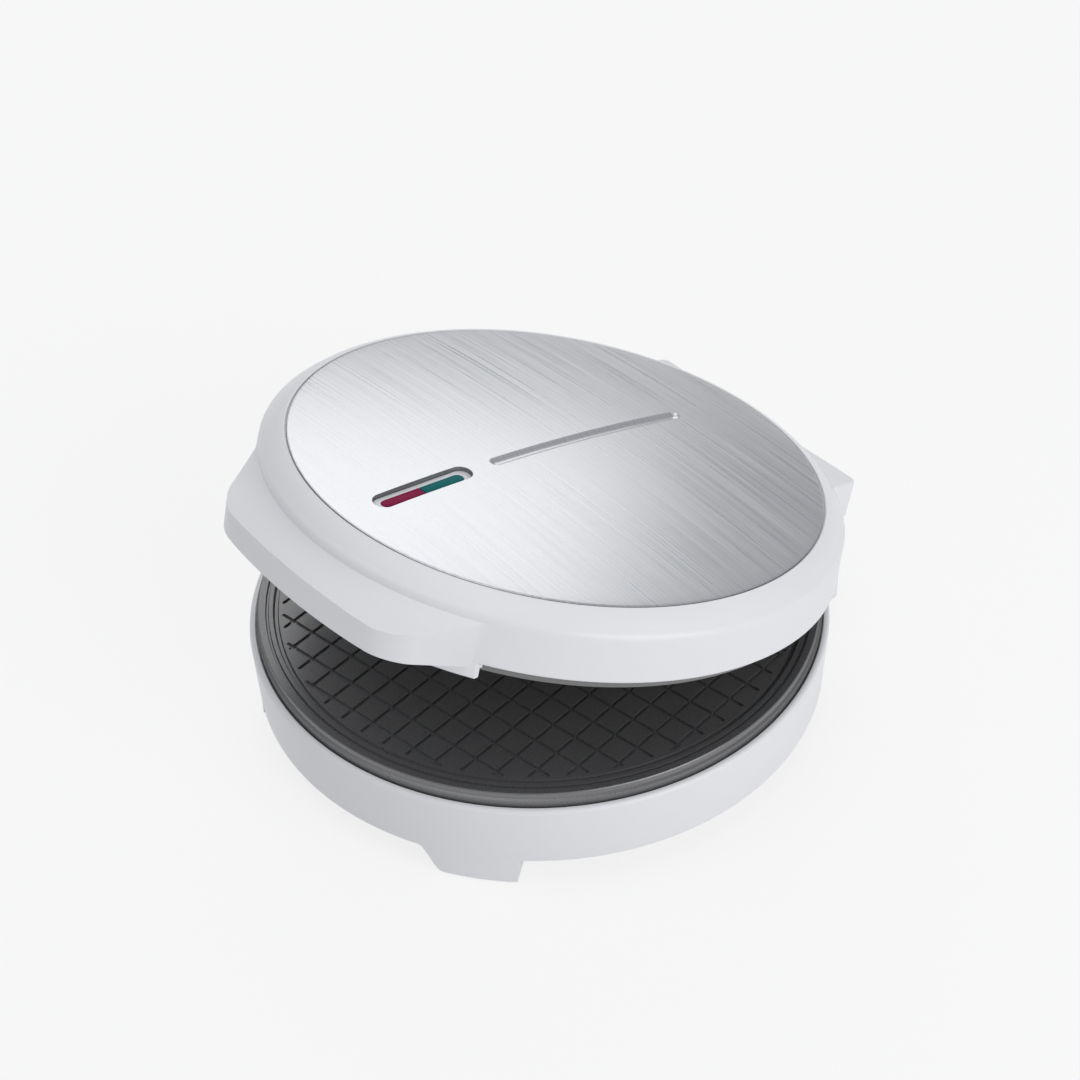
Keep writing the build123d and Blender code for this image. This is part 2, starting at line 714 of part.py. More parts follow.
def lamp_holder():
    """A tray under the window that keeps the two lamps in line."""
    tray = block(-6.5, 6.5, WINDOW_Y - 21, WINDOW_Y + 21, -9.3, -4.8)
    tray -= block(-4.5, 4.5, WINDOW_Y - 19, WINDOW_Y - 1, -8.0, -4)
    return tray - block(-4.5, 4.5, WINDOW_Y + 1, WINDOW_Y + 19, -8.0, -4)


def neon_lamp(y_middle):
    """A small glass lamp with a lead at each end."""
    return Pos(0, y_middle, -6.0) * Rot(90, 0, 0) * (Cylinder(1.9, 11) + Cylinder(0.4, 16))


def lid_plate_screws():
    """The screws that hold the upper plate, put in from above."""
    end = LID_GRID + 3.5
    places = [around(LUG_CIRCLE, angle) for angle in LUG_ANGLES]
    return group([screw(*place, LID_SCREW_FACE, end, up=False) for place in places])


# Assembly


def to_base(shape):
    """From the plate's frame to the lower plate's place."""
    return Pos(0, 0, GRID_HEIGHT) * shape


def to_lid(shape):
    """From the plate's frame, turned over, to the upper plate's place in the lid."""
    return Pos(0, 0, LID_GRID) * Rot(0, 180, 0) * shape


def opened(shape):
    """From the lid's frame to its stored place, swung open about the hinge."""
    closed = Pos(0, 0, LID_CLOSED_Z) * shape
    return closed.rotate(Axis((0, HINGE_Y, HINGE_Z), (1, 0, 0)), -REST_OPEN_DEG)


pieces["base_shell"] = base_shell()
pieces["foot_pads"] = foot_pads()
pieces["bottom_cover"] = bottom_cover()
pieces["bottom_cover_screws"] = group([
    screw(*around(COVER_SCREW_CIRCLE, angle), COVER_BOTTOM, COVER_BOTTOM + 8)
    for angle in COVER_SCREW_ANGLES
])
pieces["cord_inlet_bush"] = cord_inlet_bush()
pieces["terminal_block"] = terminal_block()
pieces["hinge_pin"] = hinge_pin()
pieces["hinge_pin_clips"] = hinge_pin_clips()
pieces["lower_cooking_plate"] = to_base(cooking_plate(PLATE_RADIUS))
pieces["lower_heating_element"] = to_base(heating_element())
pieces["lower_element_clamps"] = to_base(element_clamps())
pieces["lower_clamp_screws"] = to_base(clamp_screws())
pieces["lower_heat_reflector"] = to_base(heat_reflector())
pieces["lower_reflector_screws"] = to_base(reflector_screws())
pieces["thermal_fuse"] = to_base(thermal_fuse())
pieces["lower_plate_screws"] = group([
    screw(*around(LUG_CIRCLE, angle), LEDGE_TOP - LEDGE_THICKNESS, GRID_HEIGHT - 2.4)
    for angle in LUG_ANGLES
])

lid_pieces = {
    "lid_shell": lid_shell(),
    "steel_top_plate": steel_top_plate(),
    "lamp_bezel": lamp_bezel(),
    "power_lens": lamp_lens(front=True),
    "ready_lens": lamp_lens(front=False),
    "lamp_holder": lamp_holder(),
    "power_lamp": neon_lamp(WINDOW_Y - 10),
    "ready_lamp": neon_lamp(WINDOW_Y + 10),
    "upper_cooking_plate": to_lid(cooking_plate(UPPER_PLATE_RADIUS)),
    "upper_heating_element": to_lid(heating_element()),
    "upper_element_clamps": to_lid(element_clamps()),
    "upper_clamp_screws": to_lid(clamp_screws()),
    "upper_heat_reflector": to_lid(heat_reflector()),
    "upper_reflector_screws": to_lid(reflector_screws()),
    "thermostat": to_lid(thermostat()),
    "upper_plate_screws": lid_plate_screws(),
}
for name, shape in lid_pieces.items():
    pieces[name] = opened(shape)

boxes = [shape.bounding_box() for shape in pieces.values()]
front_y = min(box.min.Y for box in boxes)
back_y = max(box.max.Y for box in boxes)
slide = -(front_y + back_y) / 2
for name, shape in pieces.items():
    export_step(Pos(0, slide, 0) * shape, f"parts/{name}.step")

print("nodes", len(pieces), "slide", round(slide, 4))
print("hinge at y", round(HINGE_Y + slide, 4), "z", HINGE_Z)
print("length", round(back_y - front_y, 2), "height", round(max(box.max.Z for box in boxes), 2))
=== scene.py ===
# %% [markdown]
# # A round waffle maker, stored ajar
# The real thing is two white moulded casings round two black cast plates. A domed plate of brushed
# steel closes the lid, with a small lamp window and a long pressed flute. This lesson loads the
# engineered model as a fixed frame and gives every piece its form and its finish.

# %% Load the frame
import json
import math

import bmesh
import bpy
from mathutils import Matrix, Vector

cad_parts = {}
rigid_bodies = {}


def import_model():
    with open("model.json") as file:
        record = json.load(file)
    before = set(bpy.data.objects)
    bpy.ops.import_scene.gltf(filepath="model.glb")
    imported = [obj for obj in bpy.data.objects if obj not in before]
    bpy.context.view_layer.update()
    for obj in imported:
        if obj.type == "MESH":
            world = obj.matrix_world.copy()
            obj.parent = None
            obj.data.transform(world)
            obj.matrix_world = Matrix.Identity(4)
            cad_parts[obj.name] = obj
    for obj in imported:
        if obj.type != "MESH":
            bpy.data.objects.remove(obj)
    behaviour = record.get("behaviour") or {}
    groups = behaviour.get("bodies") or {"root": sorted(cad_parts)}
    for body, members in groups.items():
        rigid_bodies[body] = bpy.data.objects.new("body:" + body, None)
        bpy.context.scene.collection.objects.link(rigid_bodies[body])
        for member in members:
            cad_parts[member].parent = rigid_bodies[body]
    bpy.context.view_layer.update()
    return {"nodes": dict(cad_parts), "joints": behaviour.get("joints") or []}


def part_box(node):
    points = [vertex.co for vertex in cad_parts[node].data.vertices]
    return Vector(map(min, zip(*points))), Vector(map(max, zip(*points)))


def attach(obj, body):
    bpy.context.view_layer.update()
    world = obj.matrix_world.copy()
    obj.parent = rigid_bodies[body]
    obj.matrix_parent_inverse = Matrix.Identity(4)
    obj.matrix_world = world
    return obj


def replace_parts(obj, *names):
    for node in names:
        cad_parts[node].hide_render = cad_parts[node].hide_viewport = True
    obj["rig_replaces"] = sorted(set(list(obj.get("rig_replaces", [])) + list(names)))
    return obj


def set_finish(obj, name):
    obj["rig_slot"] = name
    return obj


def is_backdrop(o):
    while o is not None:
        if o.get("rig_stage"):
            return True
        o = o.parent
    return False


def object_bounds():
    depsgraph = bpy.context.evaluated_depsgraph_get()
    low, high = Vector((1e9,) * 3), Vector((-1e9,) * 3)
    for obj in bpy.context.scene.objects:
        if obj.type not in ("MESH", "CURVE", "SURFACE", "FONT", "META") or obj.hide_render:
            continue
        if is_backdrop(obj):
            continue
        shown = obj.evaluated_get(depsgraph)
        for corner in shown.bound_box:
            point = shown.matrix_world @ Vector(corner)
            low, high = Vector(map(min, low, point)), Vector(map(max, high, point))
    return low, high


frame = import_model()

MM = 0.001
SEGMENTS = 192
hinge = frame["joints"][0]
hinge_place = Vector(hinge["pos_m"])
open_deg = -hinge["range_deg"][0]
plate_low, plate_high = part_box("lower_cooking_plate")
axis_y = (plate_low[1] + plate_high[1]) / 2
print("drum axis at y", round(axis_y, 4), "hinge at", tuple(hinge_place), "open by", open_deg)

# %% [markdown]
# ## Small helpers
# Every operator works on what is selected, so each step starts from a clean selection. All forms
# are drawn in millimetres round the upright axis of the drum and put into place at the end, so
# that a finished piece has its place in its mesh and its object stays at the origin.

# %% Selection and placing
def only(piece):
    """Selects one object alone and makes it active."""
    bpy.ops.object.select_all(action="DESELECT")
    piece.select_set(True)
    bpy.context.view_layer.objects.active = piece


def named(piece, name):
    """Names an object and its mesh, and puts its place into the mesh."""
    only(piece)
    bpy.ops.object.transform_apply(location=True, rotation=True, scale=True)
    piece.name = name
    piece.data.name = name
    return piece


def edit(piece, mode="VERT"):
    """Opens a piece for editing with nothing selected."""
    only(piece)
    bpy.ops.object.mode_set(mode="EDIT")
    bpy.ops.mesh.select_mode(type=mode)
    bpy.ops.mesh.select_all(action="DESELECT")


def done():
    bpy.ops.object.mode_set(mode="OBJECT")


def select_where(piece, test, kind="verts"):
    """Selects the vertices, edges or faces whose middle, in millimetres, passes a test."""
    mesh = bmesh.from_edit_mesh(piece.data)
    count = 0
    for part in getattr(mesh, kind):
        if kind == "verts":
            middle = part.co / MM
        elif kind == "edges":
            middle = (part.verts[0].co + part.verts[1].co) / 2 / MM
        else:
            middle = part.calc_center_median() / MM
        if test(middle):
            part.select_set(True)
            count += 1
    bmesh.update_edit_mesh(piece.data)
    return count


def outward(piece):
    """Merges doubles and turns every face outwards."""
    edit(piece)
    bpy.ops.mesh.select_all(action="SELECT")
    bpy.ops.mesh.remove_doubles(threshold=0.01 * MM)
    bpy.ops.mesh.normals_make_consistent(inside=False)
    done()
    return piece


def smooth(piece, angle_deg=32):
    only(piece)
    bpy.ops.object.shade_smooth_by_angle(angle=math.radians(angle_deg))
    return piece


def combine(piece, tool, how):
    """Adds, cuts or keeps one closed form with another, and removes the tool."""
    modifier = piece.modifiers.new(how.lower(), "BOOLEAN")
    modifier.operation = how
    modifier.solver = "EXACT"
    modifier.object = tool
    only(piece)
    bpy.ops.object.modifier_apply(modifier=modifier.name)
    bpy.data.objects.remove(tool)
    return piece


def soften(piece, width_mm, segments=2, angle_deg=35):
    """Rounds every edge sharper than an angle."""
    modifier = piece.modifiers.new("soften", "BEVEL")
    modifier.width = width_mm * MM
    modifier.segments = segments
    modifier.limit_method = "ANGLE"
    modifier.angle_limit = math.radians(angle_deg)
    modifier.miter_outer = "MITER_ARC"
    only(piece)
    bpy.ops.object.modifier_apply(modifier=modifier.name)
    return piece


print("helpers ready for", len(frame["nodes"]), "nodes")

# %% [markdown]
# ## Drawing round forms
# A casting or a spun sheet is the same section all the way round. A circle is extruded along the
# section: each step moves the newest ring up or down and stretches it to its next radius. An open
# circle gives a ring whose last step closes on its first, and a filled one gives a solid.

# %% Round forms
def grow_ring(piece, radius, height, new_radius, new_height):
    """One step of a round form: extrudes what is selected to the next radius and height."""
    bpy.ops.mesh.extrude_region_move()
    ratio = new_radius / radius
    bpy.ops.transform.resize(value=(ratio, ratio, 1), center_override=(0, 0, 0))
    bpy.ops.transform.translate(value=(0, 0, (new_height - height) * MM))


def draw_round(name, outline, filled):
    """A round form from (radius, height) points; a ring's outline goes all the way round."""
    radius, height = outline[0]
    fill = "NGON" if filled else "NOTHING"
    bpy.ops.object.select_all(action="DESELECT")
    bpy.ops.mesh.primitive_circle_add(vertices=SEGMENTS, radius=radius * MM, fill_type=fill,
                                      location=(0, 0, height * MM))
    piece = named(bpy.context.object, name)
    edit(piece)
    bpy.ops.mesh.select_all(action="SELECT")
    rest = outline[1:] if filled else outline[1:] + outline[:1]
    for new_radius, new_height in rest:
        grow_ring(piece, radius, height, new_radius, new_height)
        radius, height = new_radius, new_height
    done()
    return outward(piece)


def arc_points(start, middle, end, steps):
    """Points on the circle through three (radius, height) points, ends included."""
    (ax, ay), (bx, by), (cx, cy) = start, middle, end
    d = 2 * (ax * (by - cy) + bx * (cy - ay) + cx * (ay - by))
    a2, b2, c2 = ax * ax + ay * ay, bx * bx + by * by, cx * cx + cy * cy
    ux = (a2 * (by - cy) + b2 * (cy - ay) + c2 * (ay - by)) / d
    uy = (a2 * (cx - bx) + b2 * (ax - cx) + c2 * (bx - ax)) / d
    size = math.hypot(ax - ux, ay - uy)
    first = math.atan2(ay - uy, ax - ux)
    last = math.atan2(cy - uy, cx - ux)
    half = math.atan2(by - uy, bx - ux)
    if not min(first, last) <= half <= max(first, last):
        last += 2 * math.pi if last < first else -2 * math.pi
    turn = [first + (last - first) * k / steps for k in range(steps + 1)]
    return [(ux + size * math.cos(a), uy + size * math.sin(a)) for a in turn]


def draw_box(name, low, high):
    """A box from its lowest to its highest corner."""
    size = [(b - a) * MM for a, b in zip(low, high)]
    middle = [(a + b) / 2 * MM for a, b in zip(low, high)]
    bpy.ops.object.select_all(action="DESELECT")
    bpy.ops.mesh.primitive_cube_add(size=1, location=middle, scale=size)
    return named(bpy.context.object, name)


def round_corners(piece, test, width_mm, segments):
    """Bevels the edges whose middle passes a test."""
    edit(piece, "EDGE")
    count = select_where(piece, test, "edges")
    bpy.ops.mesh.bevel(offset=width_mm * MM, segments=segments)
    done()
    return count


def mirrored(piece, x_too, y_too, merge=True):
    """Repeats a piece on the other side of the middle, along X, along Y or both."""
    mirror = piece.modifiers.new("mirror", "MIRROR")
    mirror.use_axis = (x_too, y_too, False)
    mirror.use_mirror_merge = merge
    only(piece)
    bpy.ops.object.modifier_apply(modifier=mirror.name)
    return outward(piece)


def draw_bar(name, radius, x_low, x_high, y, z, vertices=48):
    """A round bar along X."""
    bpy.ops.object.select_all(action="DESELECT")
    middle = ((x_low + x_high) / 2 * MM, y * MM, z * MM)
    bpy.ops.mesh.primitive_cylinder_add(vertices=vertices, radius=radius * MM, depth=(x_high - x_low) * MM,
                                        location=middle, rotation=(0, math.pi / 2, 0))
    return named(bpy.context.object, name)


print("section helpers ready")

# %% [markdown]
# ## Two frames
# The lid is drawn closed, with height zero where the steel plate's edge lies. Its place is found
# by lifting it onto the base, swinging it open about the hinge pin and sliding the whole machine
# along Y, as the frame does.

# %% Places of the base and the lid
LID_HEIGHT = 68.0
HINGE_Y, HINGE_Z = 110.0, 41.4
slide_place = Matrix.Translation((0, axis_y, 0))
hinge_line = Vector((0, HINGE_Y * MM, HINGE_Z * MM))
turn = Matrix.Rotation(math.radians(-open_deg), 4, "X")
swing = Matrix.Translation(hinge_line) @ turn @ Matrix.Translation(-hinge_line)
lid_place = slide_place @ swing @ Matrix.Translation((0, 0, LID_HEIGHT * MM))


def put_in_base(piece, *nodes, slot):
    """Puts a piece drawn round the drum's axis into the base."""
    piece.data.transform(slide_place)
    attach(piece, "base")
    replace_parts(piece, *nodes)
    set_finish(piece, slot)


def put_in_lid(piece, *nodes, slot):
    """Puts a piece drawn in the lid's frame into the lid, swung open."""
    piece.data.transform(lid_place)
    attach(piece, "lid")
    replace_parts(piece, *nodes)
    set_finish(piece, slot)


print("hinge differs by", round((slide_place @ hinge_line - hinge_place).length * 1000, 4), "mm")

# %% [markdown]
# ## The base casing
# The drum is one white moulding, open below. Its wall leans out a little so that it leaves the
# mould, and a thin rounded lip stands round the lower plate. The section is drawn as a ring.

# %% Drum wall
WALL = 2.5
FOOT_HEIGHT = 11.0
LIP_HEIGHT = 35.4
lip = arc_points((101.5, 33.9), (101.06, 34.96), (100.0, 35.4), 5)
outside = [(100.0, 11.0), (100.4, 11.35)]
inside = [(99.6, 35.4), (99.3, 35.1), (99.3, 33.2), (94.0, 33.2), (94.0, 31.2), (99.0, 31.2),
          (98.8, 15.1), (86.0, 15.1), (86.0, 13.1), (97.3, 13.1), (97.3, 11.0)]
base_casing = draw_round("base_casing", outside + lip + inside, filled=False)
print("drum wall faces", len(base_casing.data.polygons))

# %% [markdown]
# The back is squared off to carry the hinge. It is a box with rounded corners, hollow inside, that
# grows out of the drum; the drum's own room is cut out of it again. The cut runs inside the drum's
# wall, and the block stops a hair short of the drum's top and bottom, so that no two faces of the
# joined forms lie in one plane.

# %% Rear block of the base
REAR_HALF = 50.0
REAR_FACE = 101.5
INSET = 0.03
BASE_JOIN = 99.7


def rear_block(name, low, high, start_y):
    """The squared-off back: its upright corners and its top edge are rounded."""
    piece = draw_box(name, (-REAR_HALF, start_y, low), (REAR_HALF, REAR_FACE, high))

    def upright_corner(m):
        return abs(m.x) > REAR_HALF - 1 and m.y > REAR_FACE - 1 and low + 1 < m.z < high - 1

    def top_edge(m):
        return m.z > high - 0.1 and m.y > start_y + 1

    round_corners(piece, upright_corner, 3.0, 6)
    round_corners(piece, top_edge, 0.9, 4)
    return piece


def drum_room(name, radius, low, high):
    """A plain round cutter."""
    return draw_round(name, [(radius, low), (radius, high)], filled=True)


rear = rear_block("rear_block", FOOT_HEIGHT + INSET, LIP_HEIGHT - INSET, 60.0)
combine(rear, drum_room("room", BASE_JOIN, 5, 60), "DIFFERENCE")
hollow = draw_box("hollow", (-REAR_HALF + WALL, 70, 15.1),
                  (REAR_HALF - WALL, REAR_FACE - WALL, LIP_HEIGHT - WALL))
combine(rear, hollow, "DIFFERENCE")
combine(base_casing, rear, "UNION")
print("with the rear block", len(base_casing.data.polygons))

# %% [markdown]
# ## Feet
# Four feet drop from the wall. Each is a short stretch of ring with one upright side and one that
# sweeps up in a soft S. A block is extruded sideways in steps, and each step of the sweep is
# squeezed towards its top; the ring then trims it, and a mirror gives the other three.

# %% Feet
FOOT_TOP = 13.0
FOOT_LOW = 0.8
FOOT_INNER, FOOT_OUTER = 89.5, 100.3
feet = draw_box("feet", (-12.4, -106, FOOT_LOW), (13.1, -80, FOOT_TOP))
round_corners(feet, lambda m: m.x > 13 and abs(m.z - FOOT_LOW) < 0.1, 0.8, 3)
edit(feet, "FACE")
select_where(feet, lambda m: m.x < -12.3, "faces")
SWEEP_STEPS = 10
depth = FOOT_TOP - FOOT_LOW
for step in range(1, SWEEP_STEPS + 1):
    share = step / SWEEP_STEPS
    rise = (3 * share**2 - 2 * share**3) * (FOOT_HEIGHT + 0.2 - FOOT_LOW)
    new_depth = FOOT_TOP - FOOT_LOW - rise
    bpy.ops.mesh.extrude_region_move()
    bpy.ops.transform.translate(value=(-8.2 / SWEEP_STEPS * MM, 0, 0))
    bpy.ops.transform.resize(value=(1, 1, new_depth / depth), center_override=(0, 0, FOOT_TOP * MM))
    depth = new_depth
done()
foot_ring = draw_round("foot_ring", [(FOOT_INNER, 0), (FOOT_OUTER, 0), (FOOT_OUTER, 20), (FOOT_INNER, 20)],
                       filled=False)
combine(feet, foot_ring, "INTERSECT")
feet.data.transform(Matrix.Rotation(math.radians(37.5), 4, "Z"))
mirrored(feet, True, True)
combine(base_casing, feet, "UNION")
print("with four feet", len(base_casing.data.polygons))

# %% [markdown]
# ## Hinge ears
# Two ears stand out of the rear block and hold the ends of the hinge pin. Each is a round knuckle
# on a web that tapers back into the block.

# %% Ears and the cord's hole
KNUCKLE = 6.5
EAR_INNER, EAR_OUTER = 22.0, 30.0
PIN_HOLE = 2.05
INLET_HEIGHT = 22


def web(name, points, x_low, x_high):
    """A slab across X from a (y, z) outline: a plane is bent to the outline and thickened."""
    bpy.ops.object.select_all(action="DESELECT")
    bpy.ops.mesh.primitive_circle_add(vertices=len(points), radius=MM, fill_type="NGON", location=(0, 0, 0))
    piece = named(bpy.context.object, name)
    for vertex, (y, z) in zip(piece.data.vertices, points):
        vertex.co = (x_low * MM, y * MM, z * MM)
    edit(piece)
    bpy.ops.mesh.select_all(action="SELECT")
    bpy.ops.mesh.extrude_region_move(TRANSFORM_OT_translate={"value": ((x_high - x_low) * MM, 0, 0)})
    done()
    return outward(piece)


def on_knuckle(y, z, angle_deg):
    """A point on a knuckle's outline."""
    return y + KNUCKLE * math.cos(math.radians(angle_deg)), z + KNUCKLE * math.sin(math.radians(angle_deg))


ear_outline = [(REAR_FACE - 1.0, FOOT_HEIGHT + 4), (REAR_FACE - 1.0, LIP_HEIGHT - 0.6),
               on_knuckle(HINGE_Y, HINGE_Z, 140), (HINGE_Y, HINGE_Z), on_knuckle(HINGE_Y, HINGE_Z, -35)]
for side in (-1, 1):
    x_low, x_high = sorted((side * EAR_INNER, side * EAR_OUTER))
    ear = web("ear", ear_outline, x_low + INSET, x_high - INSET)
    knuckle = draw_bar("knuckle", KNUCKLE, x_low, x_high, HINGE_Y, HINGE_Z, 64)
    combine(ear, knuckle, "UNION")
    soften(ear, 0.5, 2, 50)
    combine(base_casing, ear, "UNION")
combine(base_casing, draw_bar("pin_hole", PIN_HOLE, -60, 60, HINGE_Y, HINGE_Z), "DIFFERENCE")
bpy.ops.mesh.primitive_cylinder_add(vertices=64, radius=6.1 * MM, depth=20 * MM,
                                    location=(0, REAR_FACE * MM, INLET_HEIGHT * MM),
                                    rotation=(math.pi / 2, 0, 0))
inlet_hole = named(bpy.context.object, "inlet_hole")
combine(base_casing, inlet_hole, "DIFFERENCE")
outward(base_casing)
smooth(base_casing)
print("base casing faces", len(base_casing.data.polygons))
put_in_base(base_casing, "base_shell", slot="white_plastic")

# %% [markdown]
# ## Pads and the cord's bush
# A rubber disc is pressed into each foot, and a soft bush lines the hole where the flex enters.

# %% Pads and bush
pads = draw_round("rubber_pads", [(3.3, 0.0), (3.8, 0.15), (4.0, 0.5), (4.0, 3.0)], filled=True)
pad_angle = math.radians(38.5)
pad_reach = (FOOT_INNER + 100.4) / 2
pads.data.transform(Matrix.Translation((pad_reach * math.sin(pad_angle) * MM,
                                        -pad_reach * math.cos(pad_angle) * MM, 0)))
mirrored(pads, True, True, merge=False)
smooth(pads)
put_in_base(pads, "foot_pads", slot="pad_rubber")

bush = draw_round("cord_bush", [(3.6, -6.0), (6.0, -6.0), (6.0, -1.0), (8.5, -1.0), (8.5, 0.2), (8.3, 0.7),
                                (7.8, 1.0), (4.4, 1.0), (3.9, 0.8), (3.6, 0.3)], filled=False)
bush.data.transform(Matrix.Translation((0, (REAR_FACE + 1.0) * MM, INLET_HEIGHT * MM))
                    @ Matrix.Rotation(-math.pi / 2, 4, "X"))
smooth(bush)
put_in_base(bush, "cord_inlet_bush", slot="inner_plastic")
print("pads and bush placed", [round(v, 4) for v in bush.bound_box[0]])

# %% [markdown]
# ## The hinge pin and its clips
# One plain steel rod runs through both casings. Its ends are turned to a small chamfer, and a
# spring washer is pushed over each end.

# %% Pin and clips
pin = draw_round("steel_pin", [(1.6, -32.5), (2.0, -32.1), (2.0, 32.1), (1.6, 32.5)], filled=True)
pin.data.transform(Matrix.Translation(hinge_line) @ Matrix.Rotation(math.pi / 2, 4, "Y"))
smooth(pin)
put_in_base(pin, "hinge_pin", slot="zinc_steel")

clip_section = [(PIN_HOLE, 30.1), (3.9, 30.1), (4.2, 30.3), (4.2, 30.9), (3.9, 31.2), (PIN_HOLE, 31.2)]
clips = draw_round("spring_clips", clip_section, filled=False)
clips.data.transform(Matrix.Translation(hinge_line) @ Matrix.Rotation(math.pi / 2, 4, "Y"))
mirrored(clips, True, False, merge=False)
smooth(clips)
put_in_base(clips, "hinge_pin_clips", slot="zinc_steel")
print("pin vertices", len(pin.data.vertices))

# %% [markdown]
# ## The lid casing
# The lid is a shallow white bowl turned over. Its side wall stands nearly upright, breaks at a
# crease and rolls inwards over a soft shoulder to the recess that the steel plate drops into.

# %% Lid wall and top
DOME_RISE = 5.3
STEEL_RADIUS = 91.7
dome_ball = (STEEL_RADIUS**2 + DOME_RISE**2) / (2 * DOME_RISE)
dome_middle = DOME_RISE - dome_ball


def dome_height(reach, offset=0.0):
    """Height of the steel plate's surface, moved by an offset, at a reach from the axis."""
    return dome_middle + math.sqrt((dome_ball + offset) ** 2 - reach**2)


def dome_points(first, last, steps, offset):
    """Points along the dome's section."""
    reaches = [first + (last - first) * k / steps for k in range(steps + 1)]
    return [(r, dome_height(r, offset)) for r in reaches]


EDGE = 92.1
under = dome_points(0.5, 90.2, 12, -3.3)
inner_wall = [(96.5, -6.6), (97.9, -7.6), (98.7, -22.2)]
outer_wall = [(100.8, -22.2), (101.15, -21.8), (100.4, -7.6)]
crease = arc_points((100.4, -7.6), (99.9, -5.7), (98.6, -4.4), 4)[1:]
shoulder = arc_points((98.6, -4.4), (95.6, -1.7), (92.6, 0.1), 8)[1:]
recess = [(92.3, 0.0), (EDGE, -0.3), (EDGE, dome_height(EDGE, -0.8))]
floor = dome_points(EDGE, 0.5, 12, -0.8)[1:]
lid_section = under + inner_wall + outer_wall + crease + shoulder + recess + floor
lid_casing = draw_round("lid_casing", lid_section, filled=True)
print("lid bowl faces", len(lid_casing.data.polygons))

# %% [markdown]
# The lid has a squared-off back as the base has, and two arms that reach down between the base's
# ears to the hinge pin.

# %% Lid's back and hinge arms
LID_SIDE = -22.2
LID_BACK_TOP = -8.0
LID_JOIN = 99.6
ARM_INNER, ARM_OUTER = 10.0, 21.5
back = rear_block("lid_back", LID_SIDE + INSET, LID_BACK_TOP, 60.0)
combine(back, drum_room("room", LID_JOIN, -40, 10), "DIFFERENCE")
back_room = draw_box("back_room", (-REAR_HALF + WALL, 70, LID_SIDE - 1),
                     (REAR_HALF - WALL, REAR_FACE - WALL, LID_BACK_TOP - WALL))
combine(back, back_room, "DIFFERENCE")
combine(lid_casing, back, "UNION")
lid_pin_z = HINGE_Z - LID_HEIGHT
arm_outline = [(REAR_FACE - 3, LID_SIDE + 1), (REAR_FACE - 3, LID_BACK_TOP - 2),
               (REAR_FACE, LID_BACK_TOP - 2),
               on_knuckle(HINGE_Y, lid_pin_z, 20), (HINGE_Y, lid_pin_z), on_knuckle(HINGE_Y, lid_pin_z, 225)]
for side in (-1, 1):
    x_low, x_high = sorted((side * ARM_INNER, side * ARM_OUTER))
    arm = web("arm", arm_outline, x_low + INSET, x_high - INSET)
    knuckle = draw_bar("knuckle", KNUCKLE, x_low, x_high, HINGE_Y, lid_pin_z, 64)
    combine(arm, knuckle, "UNION")
    soften(arm, 0.5, 2, 50)
    combine(lid_casing, arm, "UNION")
combine(lid_casing, draw_bar("pin_hole", PIN_HOLE, -60, 60, HINGE_Y, lid_pin_z), "DIFFERENCE")
print("lid with its back", len(lid_casing.data.polygons))

# %% [markdown]
# ## The handle
# The handle is a broad lip that sweeps out of the lid's front. Its top starts as an arc along the
# crease and flattens into the slightly bowed front edge, so the arc of edges is extruded forwards
# and ironed a little flatter, narrower and lower at each step. The plan outline then trims it.

# %% Handle top
HANDLE_STEPS = 14
ROOT_RADIUS = 98.0
ROOT_Z = -5.2
FRONT_Z = -15.5
FRONT_Y = -112.0
ROOT_HALF = 63.5
FRONT_HALF = 48.0
DIP = 1.1
bpy.ops.object.select_all(action="DESELECT")
bpy.ops.mesh.primitive_circle_add(vertices=SEGMENTS, radius=ROOT_RADIUS * MM, fill_type="NOTHING",
                                  location=(0, 0, ROOT_Z * MM))
handle = named(bpy.context.object, "handle")
edit(handle)
select_where(handle, lambda m: abs(m.x) > ROOT_HALF or m.y > 0)
bpy.ops.mesh.delete(type="VERT")
bpy.ops.mesh.select_all(action="SELECT")
root_x = max(vertex.co.x for vertex in bmesh.from_edit_mesh(handle.data).verts) / MM
root_bow = ROOT_RADIUS - math.sqrt(ROOT_RADIUS**2 - root_x**2)
front_bow = 7.0
width, bow, tip_y, tip_z = root_x, root_bow, -ROOT_RADIUS, ROOT_Z
for step in range(1, HANDLE_STEPS + 1):
    share = step / HANDLE_STEPS
    new_width = root_x + (FRONT_HALF - root_x) * share
    new_bow = root_bow + (front_bow - root_bow) * share
    new_y = -ROOT_RADIUS + (FRONT_Y + ROOT_RADIUS) * share
    dip = DIP * 4 * share * (1 - share) ** 2 * 1.7
    new_z = ROOT_Z + (FRONT_Z - ROOT_Z) * share - dip
    bpy.ops.mesh.extrude_region_move()
    bpy.ops.transform.resize(value=(new_width / width, new_bow / bow, 1), center_override=(0, tip_y * MM, 0))
    bpy.ops.transform.translate(value=(0, (new_y - tip_y) * MM, (new_z - tip_z) * MM))
    width, bow, tip_y, tip_z = new_width, new_bow, new_y, new_z
bpy.ops.mesh.select_all(action="SELECT")
bpy.ops.mesh.extrude_region_move(TRANSFORM_OT_translate={"value": (0, 0, -30 * MM)})
done()
outward(handle)
print("handle top strip faces", len(handle.data.polygons))

# %% [markdown]
# Seen from above, the handle is a trapezium with a slightly bowed front and two well rounded
# corners. The outline is drawn once, as a prism, and the swept block is trimmed to it. The same
# outline drawn a wall's thickness smaller serves later as the hollow's own cutter.

# %% Handle plan
HANDLE_BOTTOM = -24.0
PLAN_FRONT = 46.0
PLAN_ROOT = 60.5
front_ball = (PLAN_FRONT**2 + 5.0**2) / (2 * 5.0)


